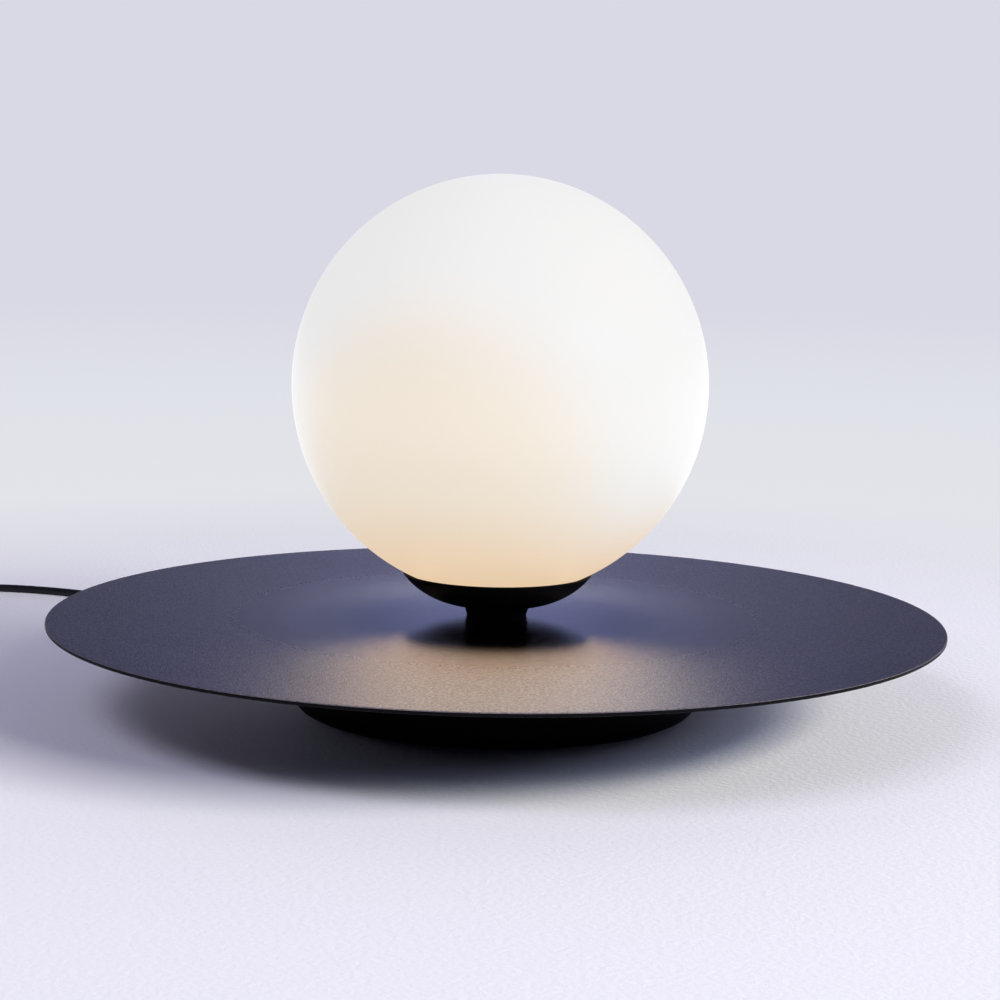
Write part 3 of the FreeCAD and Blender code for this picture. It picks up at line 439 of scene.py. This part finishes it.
def arc(centre, radius, start, end, count):
    """Points (r, z) on a circle, its angles in degrees from the +r direction."""
    angles = [math.radians(start + (end - start) * i / count) for i in range(count + 1)]
    return [(centre[0] + radius * math.cos(a), centre[1] + radius * math.sin(a)) for a in angles]


def from_bmesh(name, bm, sharp=35.0):
    """Object from a bmesh: smooth, with edges sharper than an angle kept crisp."""
    mesh = bpy.data.meshes.new(name)
    bm.to_mesh(mesh)
    bm.free()
    mesh.shade_smooth()
    mesh.set_sharp_from_angle(angle=math.radians(sharp))
    made = bpy.data.objects.new(name, mesh)
    bpy.context.scene.collection.objects.link(made)
    return made


def turned(name, outline, steps, closed=True, bevel=0.0, sharp=35.0):
    """Piece of revolution about Z from a list of (r, z) corners; bevel rounds its sharp rings."""
    bm = bmesh.new()
    corners = [bm.verts.new((r, 0.0, z)) for r, z in outline]
    pairs = list(zip(corners, corners[1:]))
    if closed:
        pairs.append((corners[-1], corners[0]))
    chain = [bm.edges.new(pair) for pair in pairs]
    bmesh.ops.spin(bm, geom=corners + chain, cent=(0, 0, 0), axis=(0, 0, 1), dvec=(0, 0, 0), angle=math.tau,
                   steps=steps, use_merge=True, use_normal_flip=False, use_duplicate=False)
    bmesh.ops.remove_doubles(bm, verts=bm.verts, dist=1e-6)
    bmesh.ops.recalc_face_normals(bm, faces=bm.faces)
    if bevel:
        round_edges(bm, bevel)
    return from_bmesh(name, bm, sharp)


def round_edges(bm, width, angle=35.0, segments=3):
    """Rounds every edge whose faces meet at more than an angle."""
    edges = [e for e in bm.edges if len(e.link_faces) == 2 and e.calc_face_angle(0) > math.radians(angle)]
    bmesh.ops.bevel(bm, geom=edges, offset=width, offset_type="OFFSET", segments=segments, profile=0.5,
                    affect="EDGES", material=-1, clamp_overlap=True)


def dressed(node, sharp=28.0):
    """Merged and smoothed copy of a CAD node that stands for it."""
    source = frame["nodes"][node]
    bm = bmesh.new()
    bm.from_mesh(source.data)
    bmesh.ops.remove_doubles(bm, verts=bm.verts, dist=2e-6)
    return settle(from_bmesh(node + ".finished", bm, sharp), source["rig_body"], node)


def settle(piece, body, *nodes):
    """Puts a piece on its body in place of CAD nodes."""
    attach(piece, body)
    if nodes:
        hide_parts(*nodes)
    return piece


def paint(piece, finish):
    """Gives a piece its material."""
    piece.data.materials.clear()
    piece.data.materials.append(finish.material)


def paint_node(node, finish):
    """Gives a CAD node its material."""
    paint(frame["nodes"][node], finish)


# ---------------------------------------------------------------- pieces

GLOBE_STRETCH = 1.01            # the globe's height to its width
WELL_GAP = 5.0 * MM             # lower pot to the wall of the base's well
WELL_FLOOR = 2.5 * MM           # thickness of the well's floor
LEAD_HOLE = 4.5 * MM            # radius of the hole in the well's floor
PLATE_GAP = 0.2 * MM            # bottom plate to the base shell


class LAMP_OT_globe(Operator):
    """Blow the opal globe with its neck"""
    bl_idname = "lamp.globe"
    bl_label = "Globe"

    def execute(self, context):
        sizes = context.scene.lamp_sizes
        bottom, top = low("globe").z, high("globe").z
        wide = radius_of("globe")
        neck = sizes.globe_neck
        tall = wide * GLOBE_STRETCH
        bm = bmesh.new()
        bmesh.ops.create_uvsphere(bm, u_segments=160, v_segments=96, radius=wide)
        bmesh.ops.scale(bm, vec=(1.0, 1.0, GLOBE_STRETCH), verts=bm.verts)
        bmesh.ops.translate(bm, vec=(0.0, 0.0, top - tall), verts=bm.verts)
        cut = top - tall - tall * math.sqrt(1 - (neck / wide) ** 2)
        bmesh.ops.bisect_plane(bm, geom=bm.verts[:] + bm.edges[:] + bm.faces[:], dist=1e-6,
                               plane_co=(0.0, 0.0, cut), plane_no=(0.0, 0.0, -1.0), clear_outer=True)
        rim = [e for e in bm.edges if e.is_boundary]
        drawn = bmesh.ops.extrude_edge_only(bm, edges=rim)["geom"]
        ends = [v for v in drawn if isinstance(v, bmesh.types.BMVert)]
        for vert in ends:
            vert.co.z = bottom
        bmesh.ops.recalc_face_normals(bm, faces=bm.faces)
        bmesh.ops.solidify(bm, geom=bm.faces[:], thickness=sizes.globe_wall)
        piece = from_bmesh("opal_globe", bm, 60.0)
        settle(piece, "globe_unit", "globe")
        paint(piece, opal_glass(context.scene.lamp_colours, cut, top))
        return {"FINISHED"}


class LAMP_OT_disc(Operator):
    """Cut the wide disc and round its rim"""
    bl_idname = "lamp.disc"
    bl_label = "Disc"

    def execute(self, context):
        sizes = context.scene.lamp_sizes
        bottom, top = low("disc").z, high("disc").z
        rim = radius_of("disc")
        edge = sizes.disc_edge
        outline = [(sizes.hole, bottom)]
        outline += arc((rim - edge, bottom + edge), edge, -90, 0, 4)
        outline += arc((rim - edge, top - edge), edge, 0, 90, 4)
        outline.append((sizes.hole, top))
        piece = turned("lamp_disc", outline, 2 * sizes.round_steps, sharp=50.0)
        settle(piece, "top", "disc")
        paint(piece, disc_coat(context.scene.lamp_colours.disc))
        return {"FINISHED"}


class LAMP_OT_cup(Operator):
    """Spin the cup and turn the neck under it"""
    bl_idname = "lamp.cup"
    bl_label = "Cup and neck"

    def execute(self, context):
        sizes = context.scene.lamp_sizes
        floor = low("cup").z
        rim = radius_of("cup")
        join = math.degrees(math.asin((sizes.cup_join - sizes.cup_flat) / sizes.cup_low_curve))
        low_centre = (sizes.cup_flat, floor + sizes.cup_low_curve)
        high_centre = arc(low_centre, sizes.cup_low_curve - sizes.cup_high_curve, join - 90, join - 90, 1)[0]
        end = math.degrees(math.asin((rim - high_centre[0]) / sizes.cup_high_curve))
        outside = [(sizes.hole, floor)]
        outside += arc(low_centre, sizes.cup_low_curve, -90, join - 90, 20)
        outside += arc(high_centre, sizes.cup_high_curve, join - 90, end - 90, 24)[1:]
        skin = sizes.cup_skin
        inside = [(sizes.hole, floor + skin)]
        inside += arc(low_centre, sizes.cup_low_curve - skin, -90, join - 90, 20)
        inside += arc(high_centre, sizes.cup_high_curve - skin, join - 90, end - 90, 24)[1:]
        piece = turned("spun_cup", outside + inside[::-1], sizes.round_steps, bevel=0.25 * MM, sharp=50.0)
        settle(piece, "top", "cup")
        coat = powder_coat("Black powder coat", context.scene.lamp_colours.black, 0.48)
        paint(piece, coat)
        neck_top = high("neck_cone").z
        outline = [(sizes.hole, low("neck_cone").z), (sizes.neck_low, low("neck_cone").z),
                   (radius_of("neck_cone"), neck_top), (sizes.hole, neck_top)]
        neck = turned("turned_neck", outline, sizes.round_steps, bevel=0.2 * MM)
        settle(neck, "top", "neck_cone")
        paint(neck, coat)
        return {"FINISHED"}


class LAMP_OT_base(Operator):
    """Cast the base shell with its well and round edges"""
    bl_idname = "lamp.base"
    bl_label = "Base"

    def execute(self, context):
        sizes = context.scene.lamp_sizes
        bottom, top = low("base_shell").z, high("base_shell").z
        wall = radius_of("base_shell")
        plate = radius_of("bottom_plate")
        well = radius_of("lower_pot") + WELL_GAP
        well_floor = low("lower_pot").z
        skin, edge, lip = sizes.base_skin, sizes.base_edge, sizes.base_lip
        shoulder = (wall - sizes.base_shoulder, sizes.base_wall_top - sizes.base_shoulder)
        crown = (well + lip, top)
        across, rise = crown[0] - shoulder[0], crown[1] - shoulder[1]
        touch = math.degrees(math.atan2(rise, across) - math.acos(sizes.base_shoulder / math.hypot(across, rise)))
        outline = [(plate + PLATE_GAP, bottom)]
        outline += arc((wall - edge, bottom + edge), edge, -90, 0, 12)
        outline += arc(shoulder, sizes.base_shoulder, 0, touch, 10)
        outline += arc((crown[0], crown[1] - lip), lip, 90, 180, 12)
        outline += [(well, well_floor), (LEAD_HOLE, well_floor),
                    (LEAD_HOLE, well_floor - WELL_FLOOR), (well + skin, well_floor - WELL_FLOOR),
                    (well + skin, top - 1.3 * skin), (wall - skin, sizes.base_wall_top - 1.2 * skin)]
        outline += arc((wall - edge, bottom + edge), edge - skin, 0, -90, 6)
        outline += [(plate + PLATE_GAP, bottom + skin)]
        piece = turned("cast_base", outline, sizes.round_steps, sharp=40.0)
        settle(piece, "base", "base_shell")
        colours = context.scene.lamp_colours
        paint(piece, powder_coat("Base powder coat", colours.black, 0.44))
        paint_node("bottom_plate", powder_coat("Plate powder coat", colours.black, 0.55))
        rubber = moulded("Foot rubber", (0.02, 0.02, 0.02), 0.8, 0.0008, 0.00005)
        foot = dressed("foot_ring")
        paint(foot, rubber)
        for node in ("base_screws", "pot_screws"):
            paint(dressed(node), metal("Zinc screw " + node, (0.5, 0.5, 0.5), 0.35))
        gland = dressed("cord_gland")
        paint(gland, rubber)
        return {"FINISHED"}


class LAMP_OT_joint(Operator):
    """Finish the magnetic ball joint"""
    bl_idname = "lamp.joint"
    bl_label = "Ball joint"

    def execute(self, context):
        centre = tuple(PIVOT)
        polished = metal("Polished steel", (0.72, 0.72, 0.73), 0.12, 0.04, 0.0006, depth=0.000002)
        turned_steel = metal("Turned steel", (0.45, 0.45, 0.46), 0.34, 0.1, 0.0007, centre)
        nickel = metal("Nickel plate", (0.6, 0.58, 0.54), 0.25, 0.06)
        liner = moulded("Liner plastic", (0.82, 0.82, 0.79), 0.45, 0.001, 0.00001)
        finishes = {"pivot_ball": (polished, "bright_steel"), "upper_pot": (turned_steel, "bright_steel"),
                    "lower_pot": (turned_steel, "bright_steel"), "upper_magnet": (nickel, "magnet_plate"),
                    "lower_magnet": (nickel, "magnet_plate"), "upper_liner": (liner, "liner_plastic"),
                    "lower_liner": (liner, "liner_plastic")}
        for node, (finish, slot) in finishes.items():
            paint(dressed(node), finish)
        return {"FINISHED"}


class LAMP_OT_light_engine(Operator):
    """Finish the pieces inside the cup and the globe"""
    bl_idname = "lamp.light_engine"
    bl_label = "Light engine"

    def execute(self, context):
        axis = (0.0, 0.0, 0.0)
        aluminium = metal("Turned aluminium", (0.74, 0.74, 0.76), 0.3, 0.1, 0.0006, axis)
        steel = metal("Zinc steel", (0.5, 0.5, 0.51), 0.36)
        white_board = circuit_board("White board", (0.55, 0.55, 0.53))
        resin = moulded("Lamp resin", (0.85, 0.62, 0.16), 0.22, 0.0005, 0.00001)
        silicone = moulded("Silicone", (0.7, 0.7, 0.68), 0.6, 0.0008, 0.00002)
        dome = frosted("Frosted dome", (0.85, 0.85, 0.82), (1.0, 0.86, 0.66))
        finishes = {"heatsink": (aluminium, "turned_aluminium"), "gallery": (aluminium, "turned_aluminium"),
                    "bayonet_ring": (aluminium, "turned_aluminium"), "lamp_nipple": (steel, "steel_screw"),
                    "nipple_nut": (steel, "steel_screw"), "gallery_screws": (steel, "steel_screw"),
                    "led_board": (white_board, "board_plastic"), "leds": (resin, "led_resin"),
                    "globe_gasket": (silicone, "gasket_silicone"), "led_diffuser": (dome, "diffuser_plastic")}
        for node, (finish, slot) in finishes.items():
            paint(dressed(node), finish)
        return {"FINISHED"}


class LAMP_OT_inner_parts(Operator):
    """Finish the pieces that the base holds inside"""
    bl_idname = "lamp.inner_parts"
    bl_label = "Inner parts"

    def execute(self, context):
        lead = jacket("Inner lead jacket", (0.012, 0.012, 0.014))
        for node in ("supply_lead", "base_lead", "ball_lead", "upper_lead"):
            paint_node(node, lead)
        paint_node("ballast", rough_cast("Cast iron", (0.1, 0.1, 0.1)))
        paint_node("terminal_block", moulded("Terminal plastic", (0.75, 0.75, 0.72), 0.5))
        paint_node("terminal_screws", metal("Terminal brass", (0.78, 0.58, 0.26), 0.3))
        return {"FINISHED"}


# The lead's routes, in millimetres
FEED_ROUTE = [
    (-62.23, 88.88, 11.5), (-72.56, 103.62, 11.5), (-94.0, 133.0, 2.25), (-130.0, 177.0, 2.25), (-167.0, 219.0, 2.25),
    (-206.0, 256.0, 2.25), (-243.0, 283.0, 2.25), (-279.0, 299.0, 2.25), (-309.0, 305.0, 2.25),
    (-334.0, 301.0, 2.25), (-347.0, 284.0, 3.65), (-348.23, 264.67, 7.5), (-349.69, 250.75, 7.5),
    (-350.74, 240.8, 7.5),
]
LEAVE_SWITCH = [(-359.31, 159.25, 7.5), (-360.56, 147.32, 7.5), (-360.75, 131.0, 3.1), (-360.75, 118.0, 3.1)]
REACH_ADAPTOR = [(-360.75, 58.0, 12.1), (-360.75, 45.0, 12.1), (-350.97, 26.78, 14.0), (-349.83, 13.83, 14.0),
                 (-348.96, 3.87, 14.0)]
COIL_CENTRE = (-336.0, 88.0, 7.6)
COIL_RADIUS = 24.75
COIL_TURNS = 7
COIL_PITCH = 4.5
COIL_SLOTS = [(0, -1), (0.87, -0.5), (0.87, 0.5), (0, 0), (-0.87, -0.5), (-0.87, 0.5), (0, 1)]
COIL_CROSSING = 0.3
POINTS_PER_TURN = 16


def coil_turns():
    """Turns of the bundle: in the last part of each, the lead crosses to the next slot."""
    points = []
    total = COIL_TURNS * POINTS_PER_TURN
    for i in range(1, total):
        turn = i / POINTS_PER_TURN
        index = min(int(turn), len(COIL_SLOTS) - 2)
        share = min(max((turn - index - 1 + COIL_CROSSING) / COIL_CROSSING, 0.0), 1.0)
        across, up = (a * (1 - share) + b * share for a, b in zip(COIL_SLOTS[index], COIL_SLOTS[index + 1]))
        angle = math.pi + math.tau * turn
        reach = COIL_RADIUS + COIL_PITCH * across
        points.append((COIL_CENTRE[0] + reach * math.cos(angle), COIL_CENTRE[1] + reach * math.sin(angle),
                       COIL_CENTRE[2] + COIL_PITCH * up))
    return points


def lead_curve(name, route, width):
    """Lead as one smooth curve: the route's points in millimetres are its control points."""
    data = bpy.data.curves.new(name, "CURVE")
    data.dimensions = "3D"
    data.bevel_depth = 1.0  # the points' own radius gives the lead its width
    data.bevel_resolution = 5
    data.resolution_u = 8
    data.use_fill_caps = True
    spline = data.splines.new("NURBS")
    spline.points.add(len(route) - 1)
    for point, place in zip(spline.points, route):
        point.co = (place[0] * MM, place[1] * MM, place[2] * MM, 1.0)
        point.radius = width / 2
    spline.order_u = 3
    spline.use_endpoint_u = True
    made = bpy.data.objects.new(name, data)
    bpy.context.scene.collection.objects.link(made)
    return made


class LAMP_OT_switch(Operator):
    """Finish the inline switch"""
    bl_idname = "lamp.switch"
    bl_label = "Inline switch"

    def execute(self, context):
        case = moulded("Switch case", context.scene.lamp_colours.plastic, 0.48)
        relief = moulded("Relief rubber", (0.014, 0.014, 0.015), 0.62)
        steel = metal("Switch steel", (0.5, 0.5, 0.51), 0.35)
        finishes = {"switch_lower_shell": (case, "case_plastic"), "switch_upper_shell": (case, "case_plastic"),
                    "switch_screws": (steel, "steel_screw"), "rocker_pin": (steel, "steel_screw"),
                    "switch_contacts": (metal("Contact brass", (0.78, 0.58, 0.26), 0.3), "brass_metal"),
                    "switch_rocker": (moulded("Rocker", (0.02, 0.02, 0.022), 0.28, depth=0.000004),
                                      "rocker_plastic"),
                    "switch_reliefs": (relief, "cord_relief")}
        for node, (finish, slot) in finishes.items():
            paint(dressed(node), finish)
        return {"FINISHED"}


class LAMP_OT_adaptor(Operator):
    """Finish the plug-in adaptor"""
    bl_idname = "lamp.adaptor"
    bl_label = "Adaptor"

    def execute(self, context):
        case = moulded("Adaptor case", context.scene.lamp_colours.plastic, 0.5)
        finishes = {"adaptor_lower_shell": (case, "case_plastic"), "adaptor_upper_shell": (case, "case_plastic"),
                    "adaptor_screws": (metal("Adaptor steel", (0.5, 0.5, 0.51), 0.35), "steel_screw"),
                    "adaptor_board": (circuit_board("Power board", (0.03, 0.16, 0.07)), "circuit_board"),
                    "adaptor_transformer": (moulded("Ferrite", (0.05, 0.05, 0.055), 0.6, 0.0012), "transformer_core"),
                    "adaptor_capacitors": (moulded("Capacitor sleeve", (0.03, 0.04, 0.14), 0.3), "capacitor_sleeve"),
                    "pin_block": (case, "case_plastic"),
                    "plug_pins": (metal("Pin nickel", (0.66, 0.63, 0.56), 0.22), "brass_metal"),
                    "adaptor_relief": (moulded("Adaptor relief", (0.014, 0.014, 0.015), 0.62), "cord_relief")}
        for node, (finish, slot) in finishes.items():
            paint(dressed(node), finish)
        return {"FINISHED"}


class LAMP_OT_lead(Operator):
    """Lay the lead from the base to the switch, the coil and the adaptor"""
    bl_idname = "lamp.lead"
    bl_label = "Lead"

    def execute(self, context):
        width = context.scene.lamp_sizes.cord_width
        skin = jacket("Lead jacket", context.scene.lamp_colours.cord)
        ties = dressed("coil_ties")
        paint(ties, strap("Strap cloth", (0.03, 0.03, 0.032)))
        feed = lead_curve("feed_lead", FEED_ROUTE, width)
        settle(feed, "base", "cord_to_switch")
        paint(feed, skin)
        tail = lead_curve("plug_lead", LEAVE_SWITCH + coil_turns() + REACH_ADAPTOR, width)
        settle(tail, "base", "cord_to_coil", "cord_coil", "cord_to_adaptor")
        paint(tail, skin)
        return {"FINISHED"}


# ---------------------------------------------------------------- stage

RAYS = ("Is Camera Ray", "Is Glossy Ray", "Is Transmission Ray")
WALL_SHARE = 11.0               # light of the wall behind the lamp to that of the band above it
FLOOR_RADIUS = 60.0

# Name, place, target, width and height, setting of its power, colour
LIGHTS = (
    ("key_light", (3.41, -1.97, 2.33), (0.0, 0.0, 0.05), (3.6, 0.75), "key_power", (1.0, 0.95, 0.80)),
    ("low_light", (3.60, -2.08, 1.83), (0.0, 0.0, 0.05), (3.6, 0.75), "low_power", (0.58, 0.68, 1.0)),
    ("fill_light", (-1.6, -1.75, 2.6), (0.0, 0.0, 0.1), (2.4, 1.0), "fill_power", (0.80, 0.77, 1.0)),
)


def backdrop_world(stage, rgb):
    """Even room light; the camera sees the pale backdrop, and gloss sees it near the horizon."""
    world = bpy.data.worlds.new("Studio")
    world.use_nodes = True
    bpy.context.scene.world = world
    room = NodeTree(world.node_tree)
    background = room.tree.nodes["Background"]
    seen, gloss, through = (room.ray(kind) for kind in RAYS)
    direction = room.node("ShaderNodeTexCoord", output="Generated")
    aside, behind, height = (Value(room, room.node("ShaderNodeSeparateXYZ", None, {0: direction}, output=name))
                             for name in "XYZ")
    level = height.span(0.0, 0.12, 1.0, 0.0, smooth=True)
    lit = 1.0 - (seen + through + gloss).clamp()
    aside = Value(room, room.node("ShaderNodeSeparateXYZ", None,
                                  {0: room.node("ShaderNodeTexCoord", output="Generated")}, output="X"))
    behind = Value(room, room.node("ShaderNodeSeparateXYZ", None,
                                   {0: room.node("ShaderNodeTexCoord", output="Generated")}, output="Y"))
    off = aside * aside
    spot = off.span(0.0, 0.03, 1.4, 0.0, smooth=True) + off.span(0.0, 0.005, 1.2, 0.0, smooth=True)
    shine = level.span(0.0, 1.0, stage.gloss_high, stage.gloss_low) * (1.0 + spot)
    wall = height.span(0.15, 0.45, 1.0, 0.0, smooth=True) * behind.span(0.2, 0.7, smooth=True)
    band = height.span(0.45, 0.58, smooth=True) * height.span(0.72, 0.85, 1.0, 0.0, smooth=True)
    walls = stage.air * (band + WALL_SHARE * wall)
    strength = (seen + through).clamp() + gloss * shine
    room.put(background.inputs["Color"],
             room.blend(lit, room.blend(gloss * (1.0 - level), rgb, stage.gloss_colour),
                        room.blend((walls * 10.0).clamp(), stage.dim_colour, stage.air_colour)))
    room.put(background.inputs["Strength"], strength + lit * (walls + stage.dim))


def floor_finish(stage, rgb, backdrop):
    """Pale table top that takes the lamp's shadow and runs into the backdrop far away."""
    top = Finish("Table top")
    speckle = top.noise(0.003, 3.0)
    cloud = top.noise(0.4, 2.0)
    top.set(Base_Color=top.blend(speckle * 0.5 + cloud * 0.5, shade(rgb, 0.975), shade(rgb, 1.02)), Roughness=0.9,
            Specular_IOR_Level=0.1)
    top.bump(speckle, 0.00028)
    seen, gloss, through = (top.ray(kind) for kind in RAYS)
    radius = top.from_axis()
    away = radius.span(0.36 * stage.horizon, 0.85 * stage.horizon, smooth=True)
    far = radius.span(0.6 * stage.horizon, 4.0 * stage.horizon, smooth=True)
    glow = top.node("ShaderNodeEmission", None, {"Color": top.blend(far, stage.near_backdrop, backdrop),
                                                 "Strength": 1.0})
    share = away * (seen + gloss + through).clamp()
    mixed = top.node("ShaderNodeMixShader", None, {0: share, 1: top.shader.outputs[0], 2: glow})
    top.tree.links.new(mixed, top.tree.nodes["Material Output"].inputs["Surface"])
    return top


def soft_light(name, place, target, size, power, rgb):
    """Soft light, wide and high as size says, that faces a target and doesn't show in gloss."""
    data = bpy.data.lights.new(name, "AREA")
    data.shape = "RECTANGLE"
    data.size, data.size_y = size
    data.energy = power
    data.color = rgb
    light = bpy.data.objects.new(name, data)
    light.location = place
    light.rotation_euler = (Vector(target) - Vector(place)).to_track_quat("-Z", "Y").to_euler()
    light.visible_glossy = False
    bpy.context.scene.collection.objects.link(light)


class LAMP_OT_stage(Operator):
    """Set the floor, the backdrop, the lights and the camera"""
    bl_idname = "lamp.stage"
    bl_label = "Stage"

    def execute(self, context):
        stage = context.scene.lamp_stage
        colours = context.scene.lamp_colours
        bm = bmesh.new()
        bmesh.ops.create_circle(bm, cap_ends=True, segments=64, radius=FLOOR_RADIUS)
        floor = from_bmesh("floor", bm)
        floor.data.materials.append(floor_finish(stage, colours.floor, colours.backdrop).material)
        backdrop_world(stage, colours.backdrop)
        for name, place, target, size, power, rgb in LIGHTS:
            soft_light(name, place, target, size, getattr(stage, power), rgb)
        context.scene.view_settings.view_transform = "Standard"
        data = bpy.data.cameras.new("camera")
        data.sensor_width = 36.0
        data.lens = stage.camera_lens
        data.clip_start = 0.01
        data.clip_end = 200.0
        camera = bpy.data.objects.new("camera", data)
        yaw = Matrix.Rotation(stage.camera_yaw, 4, "Z")
        pitch = Matrix.Rotation(math.pi / 2 - stage.camera_pitch, 4, "X")
        roll = Matrix.Rotation(stage.camera_roll, 4, "Z")
        camera.matrix_world = Matrix.Translation(stage.camera_place) @ yaw @ pitch @ roll
        context.scene.collection.objects.link(camera)
        context.scene.camera = camera
        return {"FINISHED"}


# ---------------------------------------------------------------- panel and registration

STEPS = (LAMP_OT_globe, LAMP_OT_disc, LAMP_OT_cup, LAMP_OT_base, LAMP_OT_joint, LAMP_OT_light_engine,
         LAMP_OT_inner_parts, LAMP_OT_switch, LAMP_OT_adaptor, LAMP_OT_lead, LAMP_OT_stage)


class LAMP_PT_panel(Panel):
    """Buttons for each group of pieces"""
    bl_idname = "LAMP_PT_panel"
    bl_label = "Balance Lamp"
    bl_space_type = "VIEW_3D"
    bl_region_type = "UI"
    bl_category = "Lamp"

    def draw(self, context):
        for step in STEPS:
            self.layout.operator(step.bl_idname)


CLASSES = (LampSizes, LampColours, LampStage, *STEPS, LAMP_PT_panel)


def register():
    for item in CLASSES:
        bpy.utils.register_class(item)
    bpy.types.Scene.lamp_sizes = PointerProperty(type=LampSizes)
    bpy.types.Scene.lamp_colours = PointerProperty(type=LampColours)
    bpy.types.Scene.lamp_stage = PointerProperty(type=LampStage)


def unregister():
    del bpy.types.Scene.lamp_stage
    del bpy.types.Scene.lamp_colours
    del bpy.types.Scene.lamp_sizes
    for item in reversed(CLASSES):
        bpy.utils.unregister_class(item)


def main():
    """Builds every piece and the stage."""
    register()
    for step in STEPS:
        group, action = step.bl_idname.split(".")
        getattr(getattr(bpy.ops, group), action)()


if __name__ == "__main__":
    main()
